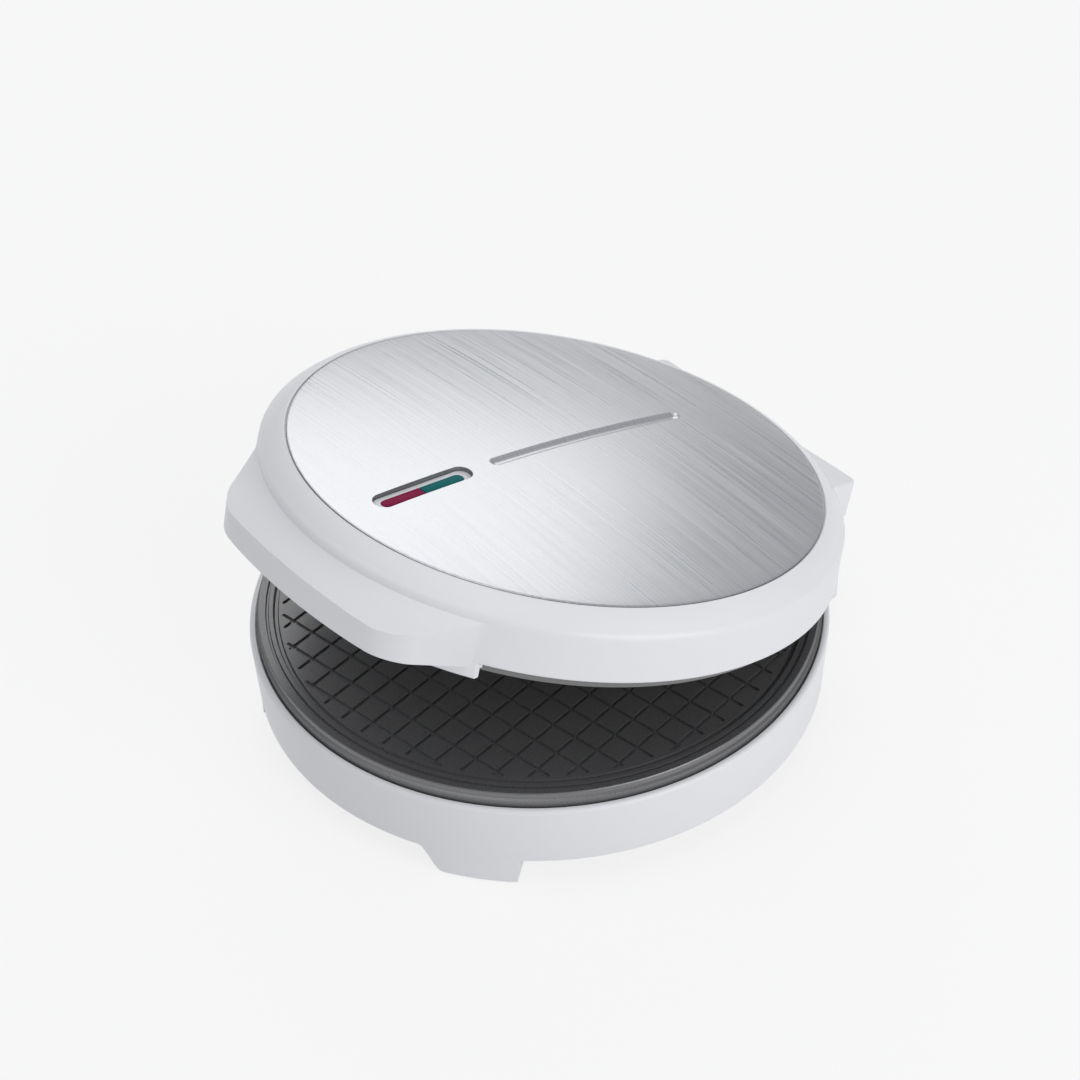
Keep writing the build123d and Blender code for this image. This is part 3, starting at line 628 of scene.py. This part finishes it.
def handle_plan(name, inset, low, high):
    """The handle's outline from above as a prism, its front corners rounded."""
    bpy.ops.object.select_all(action="DESELECT")
    bpy.ops.mesh.primitive_circle_add(vertices=512, radius=front_ball * MM, fill_type="NOTHING",
                                      location=(0, (-110 + inset + front_ball) * MM, low * MM))
    piece = named(bpy.context.object, name)
    edit(piece)
    select_where(piece, lambda m: abs(m.x) > PLAN_FRONT - inset or m.y > 0)
    bpy.ops.mesh.delete(type="VERT")
    ends = [vertex.co.copy() for vertex in bmesh.from_edit_mesh(piece.data).verts]
    end_x = max(co.x for co in ends) / MM
    end_y = max(co.y for co in ends) / MM
    select_where(piece, lambda m: end_x - 11 < abs(m.x) < end_x - 0.2)
    bpy.ops.mesh.dissolve_verts()
    bpy.ops.mesh.select_all(action="SELECT")
    bpy.ops.mesh.extrude_region_move(TRANSFORM_OT_translate={"value": (0, (-79 - end_y) * MM, 0)})
    bpy.ops.transform.resize(value=((PLAN_ROOT - inset) / end_x, 0.01, 1), center_override=(0, -79 * MM, 0))
    bpy.ops.mesh.select_all(action="SELECT")
    bpy.ops.mesh.extrude_region_move(TRANSFORM_OT_translate={"value": (0, 0, (high - low) * MM)})
    done()
    outward(piece)
    count = round_corners(piece, lambda m: abs(abs(m.x) - end_x) < 0.3 and abs(m.y - end_y) < 0.5
                          and low + 1 < m.z < high - 1, 8.5 - inset, 10)
    print(name, "corner edges", count)
    return piece


combine(handle, handle_plan("plan", 0.0, HANDLE_BOTTOM, 5), "INTERSECT")
outward(handle)
print("handle block faces", len(handle.data.polygons))

# %% [markdown]
# The edges of a moulding are never sharp, so the handle's top edge is rounded before its underside
# is hollowed out: that is where the fingers go. A thin apron hangs behind it from the lid's edge.

# %% Handle edges, hollow and apron
soften(handle, 1.3, 3, 45)
finger_room = draw_box("finger_room", (-80, -125, -60), (80, -60, HANDLE_BOTTOM + 8))
combine(finger_room, handle_plan("inner_plan", 2.4, -50, 5), "INTERSECT")
combine(handle, finger_room, "DIFFERENCE")
combine(handle, drum_room("room", 99.7, -40, 10), "DIFFERENCE")
combine(lid_casing, handle, "UNION")
apron = draw_round("apron", [(99.5, -21.0), (101.15, -21.0), (101.15, -27.6), (100.8, -28.0), (99.8, -28.0),
                             (99.5, -27.7)], filled=False)
combine(apron, draw_box("front", (-59.5, -120, -40), (59.5, -60, 0)), "INTERSECT")
combine(lid_casing, apron, "UNION")
print("lid casing faces", len(lid_casing.data.polygons))

# %% [markdown]
# The lamp window and the steel plate's flute need room in the casing, so both are cut through the
# moulding before it is put in place.

# %% Openings in the lid casing
def obround(name, span, width, y_middle, low, high, vertices=64):
    """An upright prism with round ends, long along Y; span is between the end centres."""
    bpy.ops.object.select_all(action="DESELECT")
    bpy.ops.mesh.primitive_circle_add(vertices=vertices, radius=width / 2 * MM, fill_type="NGON",
                                      location=(0, y_middle * MM, low * MM),
                                      rotation=(0, 0, math.pi / vertices))
    piece = named(bpy.context.object, name)
    for direction in (-1, 1):
        edit(piece)
        select_where(piece, lambda m: (m.y - y_middle) * direction > 0)
        bpy.ops.transform.translate(value=(0, direction * span / 2 * MM, 0))
        done()
    edit(piece)
    bpy.ops.mesh.select_all(action="SELECT")
    bpy.ops.mesh.extrude_region_move(TRANSFORM_OT_translate={"value": (0, 0, (high - low) * MM)})
    done()
    return outward(piece)


WINDOW_Y = -59.3
WINDOW_SPAN = 31.4
FLUTE_START, FLUTE_END = -30.8, 56.7
FLUTE_MIDDLE = (FLUTE_START + FLUTE_END) / 2
FLUTE_SPAN = FLUTE_END - FLUTE_START - 4.0
combine(lid_casing, obround("window_room", WINDOW_SPAN, 9.0, WINDOW_Y, -30, 10), "DIFFERENCE")
combine(lid_casing, obround("flute_room", FLUTE_SPAN, 7.2, FLUTE_MIDDLE, -30, 10), "DIFFERENCE")
outward(lid_casing)
smooth(lid_casing)
put_in_lid(lid_casing, "lid_shell", slot="white_plastic")
print("lid casing finished", len(lid_casing.data.polygons))

# %% [markdown]
# ## The steel cover
# The cover is a disc of brushed sheet, pressed to a very shallow dome. The lamp window is punched
# through it and a long flute is pressed in behind the window, in line with it. The flute's tool is
# a rod bent to the dome's own curve, with a ball at each end.

# %% Steel dome
sheet_top = dome_points(90.9, 0.4, 26, 0.0)
sheet_edge = [(91.3, dome_height(91.3) - 0.03), (91.6, dome_height(91.6) - 0.18), (91.7, -0.45)]
sheet_under = dome_points(0.4, 91.5, 26, -0.7)
steel = draw_round("steel_cover", sheet_under + sheet_edge[::-1] + sheet_top, filled=True)
print("steel disc faces", len(steel.data.polygons))

# %% [markdown]
# On the real sheet a punch takes out the window and turns its edge down, and a press forms the
# flute from above. Here the punch is a prism, the turned edge is a thin collar, and the flute is
# a trough under the sheet that the bent rod then cuts hollow.

# %% Flute and window
FLUTE_DEPTH = 1.2
FLUTE_HALF = 2.4
tool_radius = (FLUTE_HALF**2 + FLUTE_DEPTH**2) / (2 * FLUTE_DEPTH)
tool_lift = tool_radius - FLUTE_DEPTH


def flute_rod(name, radius, lift):
    """A rod along the dome from one end of the flute to the other, with round ends."""
    reach = dome_ball + lift
    first = math.asin((FLUTE_START + FLUTE_HALF) / dome_ball)
    last = math.asin((FLUTE_END - FLUTE_HALF) / dome_ball)
    bpy.ops.object.select_all(action="DESELECT")
    bpy.ops.mesh.primitive_circle_add(vertices=40, radius=radius * MM, fill_type="NGON",
                                      location=(0, 0, reach * MM), rotation=(math.pi / 2, 0, 0))
    piece = named(bpy.context.object, name)
    piece.data.transform(Matrix.Rotation(-first, 4, "X"))
    edit(piece)
    bpy.ops.mesh.select_all(action="SELECT")
    bpy.ops.mesh.spin(steps=24, angle=last - first, center=(0, 0, 0), axis=(1, 0, 0))
    done()
    outward(piece)
    for angle in (first, last):
        bpy.ops.object.select_all(action="DESELECT")
        place = Matrix.Rotation(-angle, 4, "X") @ Vector((0, 0, reach * MM))
        bpy.ops.mesh.primitive_uv_sphere_add(segments=40, ring_count=20, radius=radius * MM, location=place,
                                             rotation=(math.pi / 2, 0, 0))
        combine(piece, named(bpy.context.object, "ball"), "UNION")
    piece.data.transform(Matrix.Translation((0, 0, dome_middle * MM)))
    return piece


combine(steel, obround("window_punch", WINDOW_SPAN, 8.4, WINDOW_Y, -20, 20), "DIFFERENCE")
collar = obround("collar", WINDOW_SPAN, 8.5, WINDOW_Y, -0.6, 10)
above = draw_round("above", [(0.4, 30), (91.0, 30)] + dome_points(91.0, 0.4, 20, 0.0), filled=True)
combine(collar, above, "DIFFERENCE")
combine(collar, obround("collar_room", WINDOW_SPAN, 7.9, WINDOW_Y, -20, 20), "DIFFERENCE")
combine(steel, collar, "UNION")
soften(steel, 0.16, 2, 40)
trough = flute_rod("trough", tool_radius + 0.7, tool_lift)
trough_reach = sorted(vertex.co.y / MM for vertex in trough.data.vertices)
print("trough from y", round(trough_reach[0], 1), "to", round(trough_reach[-1], 1))
below = draw_round("below", [(0.4, -30), (91.0, -30)] + dome_points(91.0, 0.4, 20, -0.35), filled=True)
combine(trough, below, "INTERSECT")
combine(steel, trough, "UNION")
combine(steel, flute_rod("flute_tool", tool_radius, tool_lift), "DIFFERENCE")
outward(steel)
smooth(steel, 28)
# Faces steeper than about seventy degrees get the second, darker metal: painted shade on the window collar's
# walls and the sheet's rim.
for face in steel.data.polygons:
    face.material_index = 1 if abs(face.normal.z) < 0.35 else 0
put_in_lid(steel, "steel_top_plate", slot="brushed_steel")
print("steel cover faces", len(steel.data.polygons))

# %% [markdown]
# ## The lamp window
# A moulded bezel lines the punched window. It holds a red lens at the front for power and a green
# one behind it for ready, side by side in one slot. They lie flat in the slope of the dome.

# %% Bezel and lenses
BEZEL_DROP = 1.7
LENS_SPAN = 29.0
slope = math.asin(WINDOW_Y / dome_ball)
window_place = (Matrix.Translation((0, WINDOW_Y * MM, dome_height(WINDOW_Y) * MM))
                @ Matrix.Rotation(-slope, 4, "X"))
bezel = obround("window_bezel", WINDOW_SPAN, 7.8, 0.0, -3.6, -BEZEL_DROP)
combine(bezel, obround("slot", LENS_SPAN, 4.1, 0.0, -6, 2), "DIFFERENCE")
soften(bezel, 0.35, 3, 50)
smooth(bezel)
bezel.data.transform(window_place)
put_in_lid(bezel, "lamp_bezel", slot="inner_plastic")
for name, node, slot, direction in (("red_window", "power_lens", "red_lens", -1),
                                    ("green_window", "ready_lens", "green_lens", 1)):
    lens = obround(name, LENS_SPAN, 3.9, 0.0, -3.4, -BEZEL_DROP + 0.1)
    low, high = sorted((direction * 0.1, direction * 40))
    combine(lens, draw_box("half", (-10, low, -10), (10, high, 10)), "INTERSECT")
    soften(lens, 0.3, 3, 50)
    smooth(lens)
    lens.data.transform(window_place)
    put_in_lid(lens, node, slot=slot)
    print(name, len(lens.data.polygons))

# %% [markdown]
# ## Pieces that keep the frame's own form
# The cast plates, the heaters and the small hardware inside already have their real form. Each is
# copied with its loose triangles merged, and shaded smooth where its faces meet at a low angle.

# %% Merged copies
def merged_copy(node, slot, body, angle_deg=30):
    """A shown copy of a node with its triangles merged and smoothed by angle."""
    source = frame["nodes"][node]
    piece = bpy.data.objects.new(node + "_shown", source.data.copy())
    bpy.context.scene.collection.objects.link(piece)
    edit(piece)
    bpy.ops.mesh.select_all(action="SELECT")
    bpy.ops.mesh.remove_doubles(threshold=0.0005 * MM)
    bpy.ops.mesh.customdata_custom_splitnormals_clear()
    done()
    smooth(piece, angle_deg)
    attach(piece, body)
    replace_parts(piece, node)
    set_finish(piece, slot)
    return piece


shown = {
    "base": {
        "bottom_cover": "cover_plastic", "bottom_cover_screws": "zinc_steel",
        "terminal_block": "inner_plastic",
        "lower_cooking_plate": "nonstick_plate", "lower_heating_element": "element_metal",
        "lower_element_clamps": "zinc_steel", "lower_clamp_screws": "zinc_steel",
        "lower_heat_reflector": "reflector_aluminium", "lower_reflector_screws": "zinc_steel",
        "thermal_fuse": "switch_metal", "lower_plate_screws": "zinc_steel",
    },
    "lid": {
        "lamp_holder": "inner_plastic", "power_lamp": "lamp_glass", "ready_lamp": "lamp_glass",
        "upper_cooking_plate": "nonstick_plate", "upper_heating_element": "element_metal",
        "upper_element_clamps": "zinc_steel", "upper_clamp_screws": "zinc_steel",
        "upper_heat_reflector": "reflector_aluminium", "upper_reflector_screws": "zinc_steel",
        "thermostat": "switch_metal", "upper_plate_screws": "zinc_steel",
    },
}
for body, nodes in shown.items():
    for node, slot in nodes.items():
        merged_copy(node, slot, body)
print("shown copies", sum(len(nodes) for nodes in shown.values()))

# %% [markdown]
# ## Material helpers
# Each finish is mixed from plain procedural textures. A group is wired once and placed in each
# finish that needs it; every finish then sets its own values on it.

# %% Node helpers
FLOAT = "NodeSocketFloat"
VECTOR = "NodeSocketVector"


def new_material(name):
    """An empty node material with its Principled shader."""
    material = bpy.data.materials.new(name)
    material.use_nodes = True
    return material, material.node_tree, material.node_tree.nodes["Principled BSDF"]


def add(tree, kind, settings=None, values=None):
    """Adds a node with its settings, and with the values of its inputs by name or number."""
    node = tree.nodes.new(kind)
    for key, value in (settings or {}).items():
        setattr(node, key, value)
    for key, value in (values or {}).items():
        node.inputs[key].default_value = value
    return node


def new_group(name, inputs, outputs):
    """A node group with named inputs, their first values, and its outputs."""
    group = bpy.data.node_groups.new(name, "ShaderNodeTree")
    for title, kind, value in inputs:
        group.interface.new_socket(title, in_out="INPUT", socket_type=kind).default_value = value
    for title, kind in outputs:
        group.interface.new_socket(title, in_out="OUTPUT", socket_type=kind)
    return group, group.nodes.new("NodeGroupInput"), group.nodes.new("NodeGroupOutput")


def place_group(tree, group, values):
    node = tree.nodes.new("ShaderNodeGroup")
    node.node_tree = group
    for key, value in values.items():
        node.inputs[key].default_value = value
    return node


print("node helpers ready")

# %% [markdown]
# ## The grain group
# Moulded, cast, rolled and plated surfaces all have a grain. The group stretches a fine noise to the
# grain's direction, and adds a broad, soft mottle. It gives a mask for the colour, a mask for the
# roughness and a bumped normal.

# %% Grain group
grain, grain_in, grain_out = new_group(
    "grain",
    [("Vector", VECTOR, (0, 0, 0)), ("Stretch", VECTOR, (1, 1, 1)), ("Fine Scale", FLOAT, 900.0),
     ("Broad Scale", FLOAT, 18.0), ("Bump", FLOAT, 0.05), ("Depth", FLOAT, 0.0001)],
    [("Broad", FLOAT), ("Fine", FLOAT), ("Normal", VECTOR)])
stretch = add(grain, "ShaderNodeVectorMath", {"operation": "MULTIPLY"})
fine = add(grain, "ShaderNodeTexNoise", values={"Detail": 3.0, "Roughness": 0.55})
broad = add(grain, "ShaderNodeTexNoise", values={"Detail": 2.0, "Roughness": 0.5})
bump = add(grain, "ShaderNodeBump")
grain.links.new(grain_in.outputs["Vector"], stretch.inputs[0])
grain.links.new(grain_in.outputs["Stretch"], stretch.inputs[1])
grain.links.new(stretch.outputs[0], fine.inputs["Vector"])
grain.links.new(grain_in.outputs["Fine Scale"], fine.inputs["Scale"])
grain.links.new(grain_in.outputs["Vector"], broad.inputs["Vector"])
grain.links.new(grain_in.outputs["Broad Scale"], broad.inputs["Scale"])
grain.links.new(fine.outputs["Fac"], bump.inputs["Height"])
grain.links.new(grain_in.outputs["Bump"], bump.inputs["Strength"])
grain.links.new(grain_in.outputs["Depth"], bump.inputs["Distance"])
grain.links.new(broad.outputs["Fac"], grain_out.inputs["Broad"])
grain.links.new(fine.outputs["Fac"], grain_out.inputs["Fine"])
grain.links.new(bump.outputs["Normal"], grain_out.inputs["Normal"])


def finish_with_grain(name, dark, light, rough, stretch, fine_scale, broad_scale, bump_strength, depth=0.0001,
                      by_fine=False, **shader_values):
    """A finish whose colour and roughness vary with the grain."""
    material, tree, shader = new_material(name)
    place = add(tree, "ShaderNodeTexCoord")
    texture = place_group(tree, grain, {"Stretch": stretch, "Fine Scale": fine_scale,
                                        "Broad Scale": broad_scale, "Bump": bump_strength, "Depth": depth})
    tint = add(tree, "ShaderNodeMix", {"data_type": "RGBA"})
    tint.inputs["A"].default_value = (*dark, 1)
    tint.inputs["B"].default_value = (*light, 1)
    gloss = add(tree, "ShaderNodeMapRange", values={"From Min": 0.3, "From Max": 0.7, "To Min": rough[0],
                                                    "To Max": rough[1]})
    tree.links.new(place.outputs["Object"], texture.inputs["Vector"])
    mask = texture.outputs["Fine" if by_fine else "Broad"]
    tree.links.new(mask, tint.inputs["Factor"])
    tree.links.new(tint.outputs["Result"], shader.inputs["Base Color"])
    tree.links.new(texture.outputs["Fine"], gloss.inputs["Value"])
    tree.links.new(gloss.outputs["Result"], shader.inputs["Roughness"])
    tree.links.new(texture.outputs["Normal"], shader.inputs["Normal"])
    for key, value in shader_values.items():
        shader.inputs[key.replace("_", " ")].default_value = value
    return material


EVEN = (1, 1, 1)
print("grain group sockets", len(grain.interface.items_tree))

# %% [markdown]
# ## The finishes
# The casings are satin white moulding. The cover is rolled sheet, brushed from side to side. The
# plates are cast aluminium under a black non-stick coat. The rest is what such a machine has inside:
# zinc-plated steel, bare aluminium, grey element tube, moulded blocks and glass lamps.

# %% Finishes
finishes = {
    "white_plastic": finish_with_grain("white_plastic", (0.79, 0.795, 0.815), (0.83, 0.835, 0.85),
                                       (0.30, 0.38), EVEN, 1400, 14, 0.06, 0.00005),
    "brushed_steel": finish_with_grain("brushed_steel", (0.47, 0.48, 0.50), (0.82, 0.825, 0.835),
                                       (0.25, 0.43), (0.010, 1, 0), 1100, 10, 0.55, 0.00008,
                                       by_fine=True, Metallic=1.0),
    "nonstick_plate": finish_with_grain("nonstick_plate", (0.085, 0.085, 0.087), (0.105, 0.105, 0.107),
                                        (0.26, 0.36), EVEN, 1800, 25, 0.10, 0.00008, IOR=2.1),
    "pad_rubber": finish_with_grain("pad_rubber", (0.020, 0.020, 0.021), (0.035, 0.034, 0.034), (0.65, 0.80),
                                    EVEN, 1600, 60, 0.15),
    "cover_plastic": finish_with_grain("cover_plastic", (0.74, 0.75, 0.77), (0.79, 0.795, 0.81), (0.42, 0.55),
                                       EVEN, 1500, 20, 0.12),
    "inner_plastic": finish_with_grain("inner_plastic", (0.70, 0.71, 0.73), (0.78, 0.785, 0.80), (0.30, 0.42),
                                       EVEN, 1500, 40, 0.08),
    "zinc_steel": finish_with_grain("zinc_steel", (0.50, 0.50, 0.51), (0.66, 0.65, 0.62), (0.24, 0.40),
                                    EVEN, 1200, 160, 0.10, Metallic=1.0),
    "element_metal": finish_with_grain("element_metal", (0.13, 0.12, 0.11), (0.26, 0.24, 0.22), (0.42, 0.60),
                                       EVEN, 900, 60, 0.20, Metallic=1.0),
    "reflector_aluminium": finish_with_grain("reflector_aluminium", (0.72, 0.72, 0.73), (0.84, 0.84, 0.85),
                                             (0.26, 0.42), (1, 0.05, 1), 900, 30, 0.15, Metallic=1.0),
    "switch_metal": finish_with_grain("switch_metal", (0.42, 0.41, 0.39), (0.60, 0.59, 0.57), (0.30, 0.46),
                                      EVEN, 1100, 120, 0.10, Metallic=1.0),
    "red_lens": finish_with_grain("red_lens", (0.22, 0.002, 0.046), (0.27, 0.003, 0.058), (0.22, 0.32),
                                  EVEN, 700, 90, 0.05, Specular_IOR_Level=0.05),
    "green_lens": finish_with_grain("green_lens", (0.0, 0.125, 0.125), (0.0, 0.155, 0.155), (0.22, 0.32),
                                    EVEN, 700, 90, 0.05, Specular_IOR_Level=0.05),
    "lamp_glass": finish_with_grain("lamp_glass", (0.82, 0.78, 0.72), (0.90, 0.88, 0.84), (0.04, 0.10),
                                    EVEN, 500, 80, 0.03, Transmission_Weight=0.7),
}


# A darker grey metal for the steel cover's steep faces: painted shade on its walls.
steep_wall_shade = finish_with_grain("steep_wall_shade", (0.24, 0.245, 0.25), (0.34, 0.342, 0.348), (0.45, 0.60),
                             EVEN, 1300, 80, 0.10, Metallic=1.0)


def dress(piece, *materials):
    """Gives a piece its finish, and a second one for faces that ask for it."""
    wanted = [min(face.material_index, len(materials) - 1) for face in piece.data.polygons]
    piece.data.materials.clear()
    for material in materials:
        piece.data.materials.append(material)
    for face, index in zip(piece.data.polygons, wanted):
        face.material_index = index


for piece in bpy.data.objects:
    if piece.type == "MESH" and "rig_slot" in piece and piece != steel:
        dress(piece, finishes[piece["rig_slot"]])
dress(steel, finishes["brushed_steel"], steep_wall_shade)
print("finishes", len(finishes), "dark edge faces", sum(face.material_index for face in steel.data.polygons))

# %% [markdown]
# ## Frame nodes that are not shown
# Each node of the frame that a modelled piece stands for gets the same finish as that piece, so
# that the frame reads the same when it is shown by itself.

# %% Finish of the hidden nodes
for piece in bpy.data.objects:
    for node in piece.get("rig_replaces", []):
        slots = frame["nodes"][node].data.materials
        if len(slots) == 0:
            slots.append(finishes[piece["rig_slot"]])
        for index in range(len(slots)):
            slots[index] = finishes[piece["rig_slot"]]

# %% [markdown]
# ## Table, light and camera
# The machine stands on a plain pale table. The main light is a large soft one on the right, a
# broad one above fills the shadows, and a pale panel at the back left is what the steel mirrors.
# The camera looks from the front right, about forty degrees down.

# %% Table
bpy.ops.object.select_all(action="DESELECT")
bpy.ops.mesh.primitive_plane_add(size=8, location=(0, 0, 0))
table_top = named(bpy.context.object, "table_top")
surface, tree, shader = new_material("table_white")
shader.inputs["Base Color"].default_value = (0.80, 0.80, 0.80, 1)
shader.inputs["Roughness"].default_value = 0.9
shader.inputs["Specular IOR Level"].default_value = 0.0
seen = add(tree, "ShaderNodeBsdfDiffuse", values={"Color": (0.16, 0.16, 0.16, 1)})
glow = add(tree, "ShaderNodeEmission", values={"Color": (1, 1, 1, 1), "Strength": 0.80})
both = add(tree, "ShaderNodeAddShader")
ray = add(tree, "ShaderNodeLightPath")
choose = add(tree, "ShaderNodeMixShader")
tree.links.new(seen.outputs[0], both.inputs[0])
tree.links.new(glow.outputs[0], both.inputs[1])
seen_or_mirrored = add(tree, "ShaderNodeMath", {"operation": "MAXIMUM"})
seen_anyhow = add(tree, "ShaderNodeMath", {"operation": "MAXIMUM"})
tree.links.new(ray.outputs["Is Camera Ray"], seen_or_mirrored.inputs[0])
tree.links.new(ray.outputs["Is Glossy Ray"], seen_or_mirrored.inputs[1])
tree.links.new(seen_or_mirrored.outputs[0], seen_anyhow.inputs[0])
tree.links.new(ray.outputs["Is Transmission Ray"], seen_anyhow.inputs[1])
tree.links.new(seen_anyhow.outputs[0], choose.inputs["Fac"])
tree.links.new(shader.outputs[0], choose.inputs[1])
tree.links.new(both.outputs[0], choose.inputs[2])
tree.links.new(choose.outputs[0], tree.nodes["Material Output"].inputs["Surface"])
dress(table_top, surface)
table_top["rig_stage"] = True
print("table", tuple(round(v, 1) for v in table_top.dimensions))

# %% [markdown]
# Large lamps close to the machine give the soft shadow of a studio table. The panel at the back
# left is placed where the dome mirrors it towards the camera.

# %% Light
def soft_light(name, place, aim, size, power, colour=(1, 1, 1)):
    """A square area light that points at a place."""
    data = bpy.data.lights.new(name, "AREA")
    data.size = size
    data.energy = power
    data.color = colour
    light = bpy.data.objects.new(name, data)
    light.matrix_world = (Matrix.Translation(place)
                          @ (Vector(aim) - Vector(place)).to_track_quat("-Z", "Y").to_matrix().to_4x4())
    bpy.context.scene.collection.objects.link(light)
    return light


AIM = (0, 0, 0.06)
soft_light("right_light", (1.30, 0.05, 0.60), AIM, 1.0, 8)
soft_light("top_light", (-0.1, -0.35, 1.7), AIM, 1.3, 6)
soft_light("left_panel", (-0.96, 0.76, 0.90), AIM, 1.0, 3.7)
world = bpy.data.worlds.new("studio")
bpy.context.scene.world = world
world.use_nodes = True
world.node_tree.nodes["Background"].inputs["Color"].default_value = (0.94, 0.96, 1.0, 1)
world.node_tree.nodes["Background"].inputs["Strength"].default_value = 0.46

# %% [markdown]
# The camera's place was found from the crossings of the lower plate's grid, which give the angle,
# the distance and the lens together.

# %% Camera
LENS_MM = 80.2
CAMERA_PLACE = Vector((0.48751, -0.40666, 0.59793))
CAMERA_AIM = Vector((-0.58904, 0.48438, -0.64685))
CAMERA_RIGHT = Vector((0.65045, 0.75917, -0.02383))
camera_data = bpy.data.cameras.new("camera")
camera_data.sensor_width = 36
camera_data.lens = LENS_MM
camera_data.clip_start = 0.05
camera = bpy.data.objects.new("camera", camera_data)
bpy.context.scene.collection.objects.link(camera)
camera_up = CAMERA_RIGHT.cross(CAMERA_AIM)
facing = Matrix((CAMERA_RIGHT, camera_up, -CAMERA_AIM)).transposed().to_4x4()
camera.matrix_world = Matrix.Translation(CAMERA_PLACE) @ facing
bpy.context.scene.camera = camera
bpy.context.scene.view_settings.view_transform = "Standard"
print("camera", LENS_MM, "mm, up", tuple(round(v, 3) for v in camera_up))

# %% Size of what is shown
low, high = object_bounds()
print("shown box", [round(v, 4) for corner in (low, high) for v in corner])
